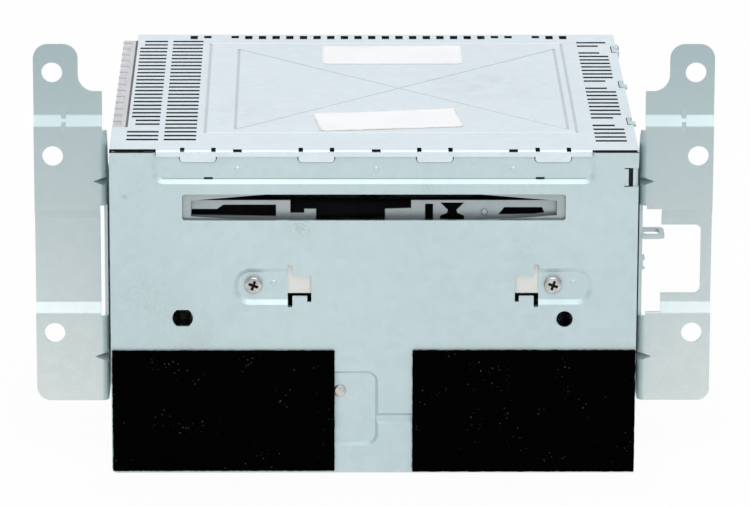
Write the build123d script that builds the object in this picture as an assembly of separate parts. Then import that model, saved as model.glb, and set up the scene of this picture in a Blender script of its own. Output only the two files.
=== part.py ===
from build123d import *
import math
import os

# A six-disc in-dash CD changer without its fascia: a galvanised sheet-metal case with two
# dash brackets, a finned heat sink on its left side, and the disc mechanism inside.
# Millimetres. +X is the right side as seen from the front, the disc slot faces -Y, +Z is up.
# The shapes below are drawn with the front sheet's outer face at y = 0 and the case bottom
# at z = 0. Each piece is then moved back by FACE_Y, so that the whole is centred on y = 0.

# ---- disc, and the room that the case leaves round it -----------------------------------
DISC_R = 60.0
SIDE_ROOM = 29.0          # disc edge to the outside of the case, on each side
FRONT_ROOM = 22.0         # front sheet to the edge of a loaded disc
REAR_ROOM = 22.0          # disc edge to the outside of the rear sheet
CASE_W = 2 * (DISC_R + SIDE_ROOM)          # 178, the body width of a standard dash opening
DISC_Y = FRONT_ROOM + DISC_R               # centre of a loaded disc behind the front sheet
CASE_D = DISC_Y + DISC_R + REAR_ROOM       # 164, front sheet to rear sheet, over all

# ---- heights: deck, play unit, disc stack and cover, one on the other -------------------
DECK_Z = 36.0             # mechanism deck over the case bottom
DECK_T = 1.2
PLAY_H = 38.0             # deck to the top of the play unit's pivot
STACK_GAP = 3.45          # play unit to the lowest tray
TRAY_COUNT = 6
TRAY_PITCH = 2.8
TRAY_T = 0.8
DISC_OVER = 1.6           # a tray's plate to the plane in which its disc is drawn in
LIFT_ROOM = 0.15          # over the raised stack
TOP_ROOM = 5.7            # top of the mechanism to the top of the cover
STACK_TRAVEL = (TRAY_COUNT - 1) * TRAY_PITCH
SLOT_Z = DECK_Z + PLAY_H + STACK_GAP + STACK_TRAVEL + TRAY_T + DISC_OVER   # 93.85
FRAME_TOP = SLOT_Z + STACK_TRAVEL + LIFT_ROOM
CASE_H = FRAME_TOP + TOP_ROOM              # 113.7, bottom sheet to cover, over all

# ---- case ------------------------------------------------------------------------------
SHEET = 1.0               # galvanised case sheet
COVER_T = 0.8             # top cover sheet
PRESS = 1.0               # how far pockets are pressed into the front sheet
AERIAL_OUT = 9.0          # how far the aerial socket stands out behind
PAD_T = 1.2               # felt pad thickness
FACE_Y = -(CASE_D + AERIAL_OUT - PAD_T) / 2

# ---- disc slot -------------------------------------------------------------------------
SLOT_SIDE = 4.6           # disc edge to the end of the slot
SLOT_W = 2 * (DISC_R + SLOT_SIDE)
SLOT_H = 9.1
MECH_ROOM = 11.0          # side wall of the mechanism frame to the outside of the case
GUIDE_T = 0.8             # slot guide plate
SHUTTER_T = 0.8
SHUTTER_GAP = 2.2         # guide plate to shutter
SHUTTER_TRAVEL = 9.0
RUN = 0.3                 # clearance beside a moving piece

# ---- brackets and heat sink ------------------------------------------------------------
EAR_W = 25.5              # a bracket's reach beyond the case side
SPAN = CASE_W + 2 * EAR_W # over both brackets
EAR_TOP = 148.3
BRACKET_T = 1.1
BRACKET_SETBACK = 6.0     # bracket front behind the case front
BRACKET_GAP = 1.0         # flange to case side, bridged by pressed bosses
JOGGLE = 2.0              # step between the forward and the rear lands
HOLE_EDGE = 6.3           # bracket holes from the bracket's outer edge
HOLE_X = SPAN / 2 - HOLE_EDGE
HOLE_R = 3.5              # clears M6
HOLE_Z = (138.6, 110.1, 48.0)
MID_SHIFT = 1.2           # the right bracket's middle hole lies this much further out
SINK_T = 5.0
SINK_FRONT = 31.0
SINK_BACK = CASE_D - 9.3
FIN_COUNT = 15

# ---- changer mechanism -----------------------------------------------------------------
SCREW_R = 3.0             # lift screws
SCREW_LEAD = 8.0
LIFT_MODULE = 1.0
TRAY_RIM = 6.0            # how far the trays reach beyond a disc
RING_TEETH = round(2 * (DISC_R + TRAY_RIM) / LIFT_MODULE)
PINION_TEETH = 12
SCREW_CIRCLE = LIFT_MODULE * (RING_TEETH + PINION_TEETH) / 2    # about the disc centre
LOAD_MODULE = 0.8
ROLLER_R = 4.0
SHAFT_R = 1.5
FIT = 0.05                # radial running clearance on a shaft
PIVOT = (DISC_R, DISC_Y + DISC_R + 2.0)     # play arm's pivot, behind the discs
ARM_SWING = 25.0
SWING_TEETH = 28          # sector under the play arm

HALF_W = CASE_W / 2
COVER_Z = CASE_H - COVER_T
WALL_X = HALF_W - COVER_T           # outside of the case's side wall
MECH_X = HALF_W - MECH_ROOM


# ---- small helpers ---------------------------------------------------------------------
def block(x0, x1, y0, y1, z0, z1):
    return Pos((x0 + x1) / 2, (y0 + y1) / 2, (z0 + z1) / 2) * Box(x1 - x0, y1 - y0, z1 - z0)


def at_depth(sketch, y):
    """A sketch in x and z, placed that far behind the front."""
    return Plane.XZ.offset(-y) * sketch


def front_cut(sketch, y0, y1):
    """Extrude a sketch drawn as (x, z) from y0 back to y1."""
    return extrude(Plane((0, y0, 0), x_dir=(1, 0, 0), z_dir=(0, -1, 0)) * sketch, -(y1 - y0))


def side_cut(sketch, x0, x1):
    """Extrude a sketch drawn as (y, z) from x0 to x1."""
    return extrude(Plane((x0, 0, 0), x_dir=(0, 1, 0), z_dir=(1, 0, 0)) * sketch, x1 - x0)


def flat_cut(sketch, z0, z1):
    """Extrude a sketch drawn as (x, y) from z0 up to z1."""
    return extrude(Plane((0, 0, z0)) * sketch, z1 - z0)


def post(x, y, z0, z1, r):
    return Pos(x, y, (z0 + z1) / 2) * Cylinder(r, z1 - z0)


def pin_y(x, z, y0, y1, r):
    return Pos(x, (y0 + y1) / 2, z) * Rot(90, 0, 0) * Cylinder(r, y1 - y0)


def pin_x(y, z, x0, x1, r):
    return Pos((x0 + x1) / 2, y, z) * Rot(0, 90, 0) * Cylinder(r, x1 - x0)


def outline(*points):
    return make_face(Polyline(*points, close=True))


def rect(x0, x1, z0, z1, r=0.0):
    shape = Rectangle(x1 - x0, z1 - z0) if r <= 0 else RectangleRounded(x1 - x0, z1 - z0, r)
    return Pos((x0 + x1) / 2, (z0 + z1) / 2) * shape


def polar(x, y, radius, degrees):
    a = math.radians(degrees)
    return (x + radius * math.cos(a), y + radius * math.sin(a))


# ---- gears -----------------------------------------------------------------------------
PRESSURE = math.radians(25)
ADDENDUM = 0.8
DEDENDUM = 1.1
BACKLASH = 0.24


def gear_outline(teeth, module, phase=0.0):
    """Involute spur gear about the origin; a tooth is centred on the phase angle."""
    pitch_r = module * teeth / 2
    base_r = pitch_r * math.cos(PRESSURE)
    root_r = pitch_r - DEDENDUM * module
    tip_r = pitch_r + ADDENDUM * module
    inv = math.tan(PRESSURE) - PRESSURE
    half_pitch = (math.pi * module / 2 - BACKLASH) / 2 / pitch_r

    def half_angle(r):
        a = math.acos(min(1.0, base_r / r))
        return half_pitch + inv - (math.tan(a) - a)

    radii = [max(root_r, base_r), pitch_r, tip_r]
    points = []
    for tooth in range(teeth):
        centre = math.radians(phase) + 2 * math.pi * tooth / teeth
        flank = [(root_r, half_angle(radii[0]))] if root_r < radii[0] else []
        flank += [(r, half_angle(r)) for r in radii]
        for r, half in flank:
            points.append((r * math.cos(centre - half), r * math.sin(centre - half)))
        for r, half in reversed(flank):
            points.append((r * math.cos(centre + half), r * math.sin(centre + half)))
    return outline(*points)


def mesh_phase(teeth, phase, direction, mate_teeth):
    """Phase of a mating gear that lies in that direction from the first."""
    ahead = (direction - phase) * teeth / 360
    return direction + 180 + (ahead - 0.5) * 360 / mate_teeth


# ---- front sheet -----------------------------------------------------------------------
BAND_X = HALF_W - 14.3    # half width of the pressed top band
BAND_Z = CASE_H - 11.7    # its lower edge
BAND_R = 4.0              # its lower corners
PRESS_RUN = 1.6           # width of a pocket's sloping wall
WEB = 0.7                 # sheet beside that wall
PANEL_TOP = COVER_Z       # top edge of the sheet
PIP_X = (-45.9, 0.7, 46.8)
FLANGE_D = 12.0           # side returns
SCREW_Z = SLOT_Z - 27.15
SCREW_AT = ((-40.7, SCREW_Z), (60.6, SCREW_Z))
WINDOW_AT = ((-29.1, 1), (55.7, -1))
KEYED_AT = (-64.65, SCREW_Z - 11.7)          # hole with two flats; its pair is round
LATCH_LOW = CASE_H - 12.7
LATCH_HIGH = CASE_H - 6.1
GUIDE_Y = PRESS + SHEET                      # front of what lies against the pressed pockets
POCKET_W = 18.4
TAB_X = 0.5               # middle of the cover's four front tabs
TAB_PITCH = 39.8
TAB_W = 12.0
TAB_Z = CASE_H - 4.1      # their lower edges
TAB_GAP = 0.35


def pocket_face(x0, x1, z0, z1, r, rounded):
    """Rectangle with all corners rounded, or only those at its left (-1) or right (1) end."""
    face = rect(x0, x1, z0, z1)
    corners = face.vertices()
    if rounded:
        corners = corners.group_by(Axis.X)[-1 if rounded > 0 else 0]
    return fillet(corners, r)


def pressed(x0, x1, z0, z1, r, run=PRESS_RUN, rounded=0):
    """A pocket with sloping walls: the sheet pressed out behind it, and its hollow."""
    left = 0 if rounded > 0 else run
    right = 0 if rounded < 0 else run
    rim = pocket_face(x0, x1, z0, z1, r, rounded)
    floor = pocket_face(x0 + left, x1 - right, z0 + run, z1 - run, r - run, rounded)
    back_rim = pocket_face(x0 - WEB, x1 + WEB, z0 - WEB, z1 + WEB, r + WEB, rounded)
    back_floor = pocket_face(x0 + left - WEB, x1 - right + WEB, z0 + run - WEB,
                             z1 - run + WEB, r - run + WEB, rounded)
    back = loft([at_depth(back_rim, SHEET / 2), at_depth(back_floor, PRESS + SHEET)])
    return back, loft([at_depth(rim, 0), at_depth(floor, PRESS)])


def pip(x, z):
    """Small raised dimple on the floor of a pocket."""
    ball = Pos(x, PRESS + 1.2, z) * Sphere(1.6)
    return ball & block(x - 2, x + 2, PRESS - 1, PRESS + 0.5, z - 2, z + 2)


def window_cut(wx, sz, side):
    """Window beside a screw pocket: a tall leg, a broad part, and a short drop."""
    leg = sorted((wx, wx + side * 1.6))
    broad = sorted((wx + side * 0.5, wx + side * 8.0))
    drop = sorted((wx + side * 6.6, wx + side * 8.0))
    lip = sorted((wx + side * 1.6, wx + side * 6.6))
    low = sz - 4.1
    shape = rect(*leg, sz - 7.9, sz + 7.1, 0.5) + rect(*broad, low, sz + 3.1, 0)
    shape = fillet(shape.vertices().group_by(Axis.Y)[-1 if side else 0], 0.3)
    cut = front_cut(shape, -1, 4) + block(*drop, -1, 4, sz - 6.0, low)
    # the lower edge is rolled in, which catches the light
    return cut + side_cut(outline((-1, low), (-1, low - 1.9), (1, low)), *lip)


def front_panel():
    panel = block(-HALF_W, HALF_W, 0, SHEET, 0, PANEL_TOP)
    corner = panel.edges().filter_by(Axis.Y).group_by(Axis.Z)[0].sort_by(Axis.X)[0]
    panel = fillet(corner, 1.8)
    for side in (-1, 1):
        edge = sorted((side * WALL_X, side * HALF_W))
        panel += block(*edge, SHEET, FLANGE_D, 2.0 if side < 0 else 0, PANEL_TOP)
    pockets = [pressed(-BAND_X, BAND_X, BAND_Z, COVER_Z + 6, BAND_R)]
    for (sx, sz), (wx, side) in zip(SCREW_AT, WINDOW_AT):
        x0, x1 = sorted((wx, wx - side * POCKET_W))
        pockets.append(pressed(x0, x1, sz - 7.0, sz + 5.8, 5.9, rounded=-side))
    pockets.append(pressed(-40, 1.6, 9.7, 36.2, 3.9, run=1.0))
    pockets.append(pressed(0, 44, 17.5, 21.2, 1.8, run=1.0))
    below = block(-HALF_W, HALF_W, 0, GUIDE_Y, 0, PANEL_TOP)
    for back, hollow in pockets:
        panel += back & below
    for back, hollow in pockets:
        panel -= hollow
    for x in PIP_X:
        panel += pip(x, CASE_H - 6.8)
    panel += pip(SCREW_AT[0][0] + 6.9, SCREW_Z + 0.45)
    panel += pip(SCREW_AT[1][0] + 6.9, SCREW_Z + 0.4)
    slot = rect(-SLOT_W / 2, SLOT_W / 2, SLOT_Z - SLOT_H / 2, SLOT_Z + SLOT_H / 2, 0.9)
    cuts = [front_cut(slot, -1, 3)]
    for (sx, sz), (wx, side) in zip(SCREW_AT, WINDOW_AT):
        cuts.append(pin_y(sx, sz, -1, 4, SHAFT_R + RUN))
        cuts.append(window_cut(wx, sz, side))
    for i in range(4):
        x = TAB_X + (i - 1.5) * TAB_PITCH
        seat = rect(x - TAB_W / 2 - TAB_GAP, x + TAB_W / 2 + TAB_GAP, TAB_Z - TAB_GAP,
                    COVER_Z + 3, 1.5)
        cuts.append(front_cut(seat, -1, 3))
    double_d = Circle(3.5) & Rectangle(8, 5.8)
    cuts.append(front_cut(Pos(*KEYED_AT) * double_d, -1, 3))
    cuts.append(pin_y(-KEYED_AT[0], KEYED_AT[1] - 0.4, -1, 3, 2.8))
    cuts.append(pin_y(PIN_X, PIN_Z, -1, 3, PIN_SHANK_R))
    for x in (-55.7, 55.9):
        cuts.append(block(x - 1.5, x + 1.5, -1, 3, BAND_Z + PRESS_RUN - 0.2,
                          BAND_Z + PRESS_RUN + 0.6))
    cuts.append(block(HALF_W - 3.4, HALF_W + 1, -1, 4, LATCH_LOW, LATCH_HIGH))
    for z in (LATCH_LOW, LATCH_HIGH - 0.4):
        cuts.append(block(HALF_W - 4.8, HALF_W + 1, -1, 2, z, z + 0.4))
    for cut in cuts:
        panel -= cut
    return panel


PIN_X = -11.4
PIN_Z = 29.0
PIN_SHANK_R = 1.2
PIN_HEAD_R = 2.05


def locating_pin():
    head = pin_y(PIN_X, PIN_Z, PRESS - 0.9, PRESS, PIN_HEAD_R)
    head = fillet(head.edges().filter_by(GeomType.CIRCLE).sort_by(Axis.Y)[0], 0.5)
    return head + pin_y(PIN_X, PIN_Z, PRESS, PRESS + 2.5, PIN_SHANK_R)


def pan_screw(x, z, y_seat, length):
    """Cross-head machine screw that points back, its head in front of the seat."""
    head = pin_y(x, z, y_seat - 2.0, y_seat, 3.05)
    head = fillet(head.edges().filter_by(GeomType.CIRCLE).sort_by(Axis.Y)[0], 0.9)
    for a in (20, 110):
        head -= Pos(x, y_seat - 1.8, z) * Rot(0, a, 0) * Box(3.4, 2.4, 0.95)
    return head + pin_y(x, z, y_seat, y_seat + length, SHAFT_R)


# ---- top cover -------------------------------------------------------------------------
LIP_Z = CASE_H - 2.2      # lower edge of the rolled front lip
LIP_X = HALF_W - 15.7     # half length of the lip
CORNER_BACK = (2.0, 0.8)  # how far the cover's left and right corners stand back
COVER_SKIRT = 9.0
VENT_PITCH = 5.15
VENT_ROWS = 1 + int((CASE_D - 24.5) / VENT_PITCH)
VENT_W = 2.2
REAR_VENT_PITCH = 4.965
REAR_VENTS = 1 + int((CASE_W - 43.0) / REAR_VENT_PITCH)
LOCK_Y = ((34.2, 43.6), (85.7, 95.0), (CASE_D - 27.4, CASE_D - 18.0))


BEAD_W = 2.4              # the cover's pressed lines, which keep it stiff and quiet
BEAD_DEPTH = 0.35
PANEL = (-(HALF_W - 31.8), HALF_W - 19.7, 23.4, CASE_D - 13.6)     # x0, x1, y0, y1
CROSS = (-(HALF_W - 42.0), HALF_W - 22.6, 28.0, CASE_D - 22.0)     # ends of the cross


def bead(start, end):
    """A straight V groove in the cover's top, from one plan point to another."""
    (x0, y0), (x1, y1) = start, end
    length = math.hypot(x1 - x0, y1 - y0)
    angle = math.degrees(math.atan2(y1 - y0, x1 - x0))
    section = outline((-BEAD_W / 2, BEAD_DEPTH), (BEAD_W / 2, BEAD_DEPTH), (0, -BEAD_DEPTH))
    groove = extrude(Plane.YZ * section, length)
    return Pos(x0, y0, CASE_H) * Rot(0, 0, angle) * groove


def panel_beads():
    """The frame of the panel, a second line on each side, and the cross within it."""
    x0, x1, y0, y1 = PANEL
    left, right, near, far = CROSS
    middle = ((left + right) / 2, (near + far) / 2)
    lines = [((x0, y0), (x1, y0)), ((x0, y1), (x1, y1)), ((x0, y0), (x0, y1)),
             ((x1, y0), (x1, y1)), ((left, near), (left, far)), ((right, near), (right, far))]
    lines += [(middle, corner) for corner in ((left, near), (right, near), (left, far),
                                              (right, far))]
    return [bead(*line) for line in lines]


def vent_cut(x0, x1, y):
    return block(x0, x1, y - VENT_W / 2, y + VENT_W / 2, COVER_Z - 1, CASE_H + 1)


def top_cover():
    sink_x = -(HALF_W - SINK_T)
    plan = outline((-HALF_W, 0), (HALF_W, 0), (HALF_W, CASE_D), (sink_x, CASE_D),
                   (sink_x, SINK_FRONT), (-HALF_W, SINK_FRONT))
    cover = flat_cut(plan, COVER_Z, CASE_H)
    cover += block(-LIP_X, LIP_X, 0, COVER_T, LIP_Z, COVER_Z)
    roll = cover.edges().filter_by(Axis.X).group_by(Axis.Y)[0].sort_by(Axis.Z)[-1]
    cover = fillet(roll, 0.75)
    cover += block(WALL_X, HALF_W, FLANGE_D + 1, CASE_D, CASE_H - COVER_SKIRT, COVER_Z)
    cover += block(sink_x, sink_x + COVER_T, SINK_FRONT + 2, CASE_D, CASE_H - COVER_SKIRT,
                   COVER_Z)
    for i in range(4):
        x = TAB_X + (i - 1.5) * TAB_PITCH
        tab = rect(x - TAB_W / 2, x + TAB_W / 2, TAB_Z, COVER_Z, 0)
        tab = front_cut(tab, 0, COVER_T)
        tab = fillet(tab.edges().filter_by(Axis.Y).group_by(Axis.Z)[0], 1.2)
        cover += tab
    cover -= Compound(children=panel_beads())
    cuts = [block(-HALF_W - 1, -LIP_X, -1, CORNER_BACK[0], COVER_Z - 1, CASE_H + 1),
            block(LIP_X, HALF_W + 1, -1, CORNER_BACK[1], COVER_Z - 1, CASE_H + 1)]
    for i in range(4):
        x = TAB_X + (i - 1.5) * TAB_PITCH
        for side in (-1, 1):
            cx = x + side * (TAB_W / 2 - 0.75)
            cuts.append(block(cx - 0.75, cx + 0.75, -1, 3.8, CASE_H - 0.6, CASE_H + 1))
            cuts.append(block(cx - 0.75, cx + 0.75, COVER_T, 3.8, COVER_Z - 1, CASE_H))
    for x in PIP_X:
        cuts.append(block(x - 1.5, x + 1.5, -1, 1.9, CASE_H - 0.7, CASE_H + 1))
        cuts.append(block(x - 1.5, x + 1.5, COVER_T, 1.9, COVER_Z - 1, CASE_H))
    for row in range(VENT_ROWS):
        y = 14.5 + row * VENT_PITCH
        inset = 5.3 if row < 3 else (7.8 if row in (4, 5, 26, 27) else 6.3)
        if row != 3:
            cuts.append(vent_cut(inset - HALF_W, 16.1 - HALF_W, y))
        cuts.append(vent_cut(18.0 - HALF_W, 28.9 - HALF_W, y))
        y = 12.7 + row * VENT_PITCH
        if row not in (5, 15, 25):
            inset = 6.4 if row in (4, 6, 14, 16, 24, 26) else 3.4
            cuts.append(vent_cut(HALF_W - 14.0, HALF_W - inset, y))
    for i in range(REAR_VENTS):
        if i not in (2, 24):
            x = 25.4 - HALF_W + i * REAR_VENT_PITCH
            front = CASE_D - (5.5 if i in (1, 3, 22, 23, 25) else 7.0)
            cuts.append(block(x - 1.35, x + 1.35, front, CASE_D - 1.8, COVER_Z - 1,
                              CASE_H + 1))
    for y0, y1 in LOCK_Y:
        cuts.append(block(WALL_X - SHEET - RUN, HALF_W + 1, y0, y1, CASE_H - 4, CASE_H + 1))
    for side in (-1, 1):
        cuts.append(pin_x(CASE_D - 6.0, CASE_H - 5.2, side * HALF_W - 7, side * HALF_W + 7,
                          SHAFT_R + RUN))
    cover -= Compound(children=cuts)
    return cover


# ---- case shell, rear sheet and what is on them ----------------------------------------
MAIN_PLUG = (-64.0, -16.0, 15.0, 30.0)       # x0, x1, z0, z1 of the harness connector
SIDE_PLUG = (-8.0, 18.0, 15.0, 25.0)
AERIAL_AT = (58.0, 23.0)
AERIAL_R = 6.0
STAND_X = HALF_W - 19.0
STAND_Y = (42.0, CASE_D - 26.0)
BOARD_Z = 12.0
BOARD_T = 1.6
MECH_POST_X = MECH_X - 7.0
MECH_POST_Y = (20.0, CASE_D - 12.0)
DAMPER_H = 3.0


def chassis_shell():
    sink_x = -(HALF_W - SINK_T) + COVER_T
    plan = outline((-WALL_X, SHEET), (WALL_X, SHEET), (WALL_X, CASE_D), (sink_x, CASE_D),
                   (sink_x, SINK_FRONT), (-WALL_X, SINK_FRONT))
    inner = outline((-WALL_X + SHEET, 0), (WALL_X - SHEET, 0), (WALL_X - SHEET, CASE_D + 1),
                    (sink_x + SHEET, CASE_D + 1), (sink_x + SHEET, SINK_FRONT - SHEET),
                    (-WALL_X + SHEET, SINK_FRONT - SHEET))
    shell = flat_cut(plan, 0, COVER_Z) - flat_cut(inner, SHEET, COVER_Z + 1)
    # the sides stop short behind the front sheet's pressed returns
    for y0, y1 in LOCK_Y:
        shell += block(WALL_X - SHEET, WALL_X, y0 + RUN, y1 - RUN, COVER_Z, CASE_H + 0.4)
        curl = outline((WALL_X - SHEET, CASE_H - 0.4), (HALF_W + 0.9, CASE_H - 0.9),
                       (HALF_W + 0.9, CASE_H - 0.1), (WALL_X - SHEET, CASE_H + 0.4))
        shell += front_cut(curl, y0 + RUN, (y0 + y1) / 2)
    for x in (-STAND_X, STAND_X):
        for y in STAND_Y:
            shell += post(x, y, SHEET, BOARD_Z, 3.0)
            shell -= post(x, y, SHEET + 2, BOARD_Z + 1, 1.3)
    for y in (60.0, 70.0, 80.0, 90.0, 100.0, 110.0):
        shell -= block(-25, 25, y - 1.5, y + 1.5, -1, SHEET + 1)
    return shell


def rear_panel():
    left = -(HALF_W - SINK_T) + COVER_T + SHEET
    panel = block(left, WALL_X - SHEET, CASE_D - SHEET, CASE_D, SHEET, COVER_Z)
    for x0, x1, z0, z1 in (MAIN_PLUG, SIDE_PLUG):
        panel -= block(x0 - RUN, x1 + RUN, CASE_D - 3, CASE_D + 1, z0 - RUN, z1 + RUN)
    panel -= pin_y(*AERIAL_AT, CASE_D - 3, CASE_D + 1, AERIAL_R + RUN)
    for x in (-60, -20, 20, 60):
        for z in (DECK_Z + 24, DECK_Z + 39, DECK_Z + 54):
            panel -= block(x - 12, x + 12, CASE_D - 3, CASE_D + 1, z - 1.2, z + 1.2)
    return panel


def plug_housing(x0, x1, z0, z1, out, rows):
    """Connector shell, open to the rear, with its contacts standing in it."""
    body = block(x0, x1, CASE_D - 20, CASE_D + out, z0, z1)
    body -= block(x0 + 1.2, x1 - 1.2, CASE_D - 8, CASE_D + out + 1, z0 + 1.2, z1 - 1.2)
    body += block(x0, x1, CASE_D - 20, CASE_D - 8, BOARD_Z + BOARD_T, z0)
    columns = int((x1 - x0 - 6) / 5)
    step = (x1 - x0 - 6) / columns
    for row in range(rows):
        z = z0 + (z1 - z0) * (row + 1) / (rows + 1)
        for i in range(columns + 1):
            x = x0 + 3 + i * step
            body += block(x - 0.4, x + 0.4, CASE_D - 9, CASE_D + out - 2, z - 0.4, z + 0.4)
    return body


def aerial_socket():
    x, z = AERIAL_AT
    body = pin_y(x, z, CASE_D - 16, CASE_D + AERIAL_OUT, AERIAL_R)
    body -= pin_y(x, z, CASE_D - 6, CASE_D + AERIAL_OUT + 1, AERIAL_R - 1.2)
    body += pin_y(x, z, CASE_D - 7, CASE_D + AERIAL_OUT - 2, 1.4)
    body += block(x - 7, x + 7, CASE_D - 18, CASE_D - 8, BOARD_Z + BOARD_T, z + 6.5)
    return body


SINK_SCREW_Y = (60.0, 124.0)
SINK_SCREW_Z = 57.0
SINK_SEAT = 1.2           # web left under the heads
COVER_SCREW_Y = CASE_D - 6.0
COVER_SCREW_Z = CASE_H - 5.2


def heat_sink():
    x0, x1 = -HALF_W, -(HALF_W - SINK_T)
    sink = block(x1 - 2.0, x1, SINK_FRONT, SINK_BACK, SHEET, CASE_H)
    sink += block(x1, x1 + COVER_T, SINK_FRONT, SINK_BACK, SHEET, CASE_H - COVER_SKIRT - RUN)
    pitch = (SINK_BACK - SINK_FRONT - 3.0) / (FIN_COUNT - 1)
    for i in range(FIN_COUNT):
        y = SINK_FRONT + 1.5 + i * pitch
        sink += block(x0, x1 - 2.0, y - 1.5, y + 1.5, SHEET, CASE_H)
    for y in SINK_SCREW_Y:
        sink -= pin_x(y, SINK_SCREW_Z, x0 - 1, x1 - SINK_SEAT, 3.4)
        sink -= pin_x(y, SINK_SCREW_Z, x1 - 2, x1 + 1, SHAFT_R + RUN)
    return sink


def side_screw(side, y, z, x_seat, length, head_r=2.9):
    """Pan-head screw through a side; side is -1 on the left, 1 on the right."""
    head = sorted((x_seat, x_seat + side * 1.8))
    shank = sorted((x_seat, x_seat - side * length))
    body = pin_x(y, z, *head, head_r)
    pick = body.edges().filter_by(GeomType.CIRCLE).sort_by(Axis.X)
    body = chamfer(pick[-1] if side > 0 else pick[0], 0.7)
    return body + pin_x(y, z, *shank, SHAFT_R)


# ---- dash brackets ---------------------------------------------------------------------
FLANGE_BACK = {-1: SINK_FRONT - 1.0, 1: CASE_D - 14.0}   # the left one ends before the sink
FLANGE_TOP = 118.7        # at the bracket's front
FLANGE_LOW = 102.0        # top of the flange along the case, below the cover's edge
BRACKET_FOOT = 24.0
BEND_R = 2.0              # bends of the front plate
CORNER_R = 2.4            # bend between plate and flange
WINDOW_Z = (55.2, 91.5)
DART_Z = (39.6, 101.3)    # pinched stiffeners in the bend between plate and flange
BOSS_AT = {-1: ((21.0, 38.0), (21.0, 65.0), (21.0, 92.0)),
           1: ((24.0, 38.0), (24.0, 92.0), (120.0, 38.0), (120.0, 92.0))}
INSIDE = HALF_W + BRACKET_GAP                  # inner face of the flange
INNER_X = INSIDE + BRACKET_T                   # outer face of the flange
REAR_LAND = BRACKET_SETBACK + JOGGLE
STEP_Z = (122.2, 89.9, 56.7)                   # middles of the three steps
STEP_H = 4.0


def joggled_section():
    """Side view (y, z) of the front plate: rear land, forward, rear, forward."""
    front, back, half = BRACKET_SETBACK, REAR_LAND, STEP_H / 2
    high, middle, low = STEP_Z
    line = ((back, EAR_TOP + 1), (back, high + half), (front, high - half),
            (front, middle + half), (back, middle - half), (back, low + half),
            (front, low - half), (front, BRACKET_FOOT - 1))
    rear = [(y + BRACKET_T, z) for y, z in reversed(line)]
    section = outline(*line, *rear)
    bends = [v for v in section.vertices() if BRACKET_FOOT < v.Y < EAR_TOP]
    return fillet(bends, BEND_R)


def bracket_outline(window):
    """Front view (x, z) of the right bracket's plate, without its holes."""
    out = SPAN / 2
    ear_in = out - 15.0
    shoulder = 132.0
    shape = rect(INSIDE + CORNER_R, out, BRACKET_FOOT, shoulder)
    shape += rect(INNER_X + 0.4, out, FLANGE_TOP, shoulder)
    shape += rect(ear_in, out, shoulder - 5, EAR_TOP)
    shape += rect(ear_in - NECK_R, ear_in, shoulder - 1, shoulder + NECK_R)
    shape -= Pos(ear_in - NECK_R, shoulder + NECK_R) * Circle(NECK_R)
    low, high = WINDOW_Z
    if window:
        near, far = HALF_W + 8.5, out - 3.6
        opening = rect(near - 1, far, low + 6.2, high - 5.9)
        opening = fillet(opening.vertices().group_by(Axis.X)[-1], 2.0)
        shape -= opening + rect(HALF_W, near, low, high)
    return shape


NECK_R = 5.5              # hollow curve below the ear


def corner_bend(z0, z1):
    """Rounded bend that joins the front plate and the flange."""
    x, y = INSIDE + CORNER_R, BRACKET_SETBACK + CORNER_R
    ring = Pos(x, y) * (Circle(CORNER_R) - Circle(CORNER_R - BRACKET_T))
    return flat_cut(ring & rect(INSIDE, x, BRACKET_SETBACK, y), z0, z1)


def corner_dart(z):
    """Metal behind and dent of a pinched stiffener across the corner bend."""
    across = Plane(origin=(INSIDE, BRACKET_SETBACK, z), x_dir=(1, 1, 0), z_dir=(1, -1, 0))
    behind = extrude(across * outline((1.2, 2.3), (1.2, -2.3), (4.6, 0)), 10, both=True)
    behind &= block(INSIDE, INSIDE + 9, BRACKET_SETBACK, BRACKET_SETBACK + 9, z - 4, z + 4)
    dent = extrude(across * outline((-1, 2.5), (-1, -2.5), (3.3, 0)), 10, both=True)
    return behind, dent


def step_dart(x):
    """Small gusset across the upper step, and the dent under it."""
    top, low = STEP_Z[0] + STEP_H / 2, STEP_Z[0] - STEP_H / 2
    gusset = outline((REAR_LAND + 0.1, top + 2.0), (REAR_LAND + 0.1, top - 0.4),
                     (REAR_LAND - 0.8, STEP_Z[0] + 0.1))
    dent = outline((BRACKET_SETBACK - 1, low - 1.6), (BRACKET_SETBACK + 0.02, low - 1.6),
                   (REAR_LAND - 1.1, STEP_Z[0]), (BRACKET_SETBACK - 1, STEP_Z[0]))
    return side_cut(gusset, x - 0.8, x + 0.8), side_cut(dent, x - 0.7, x + 0.7)


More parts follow.
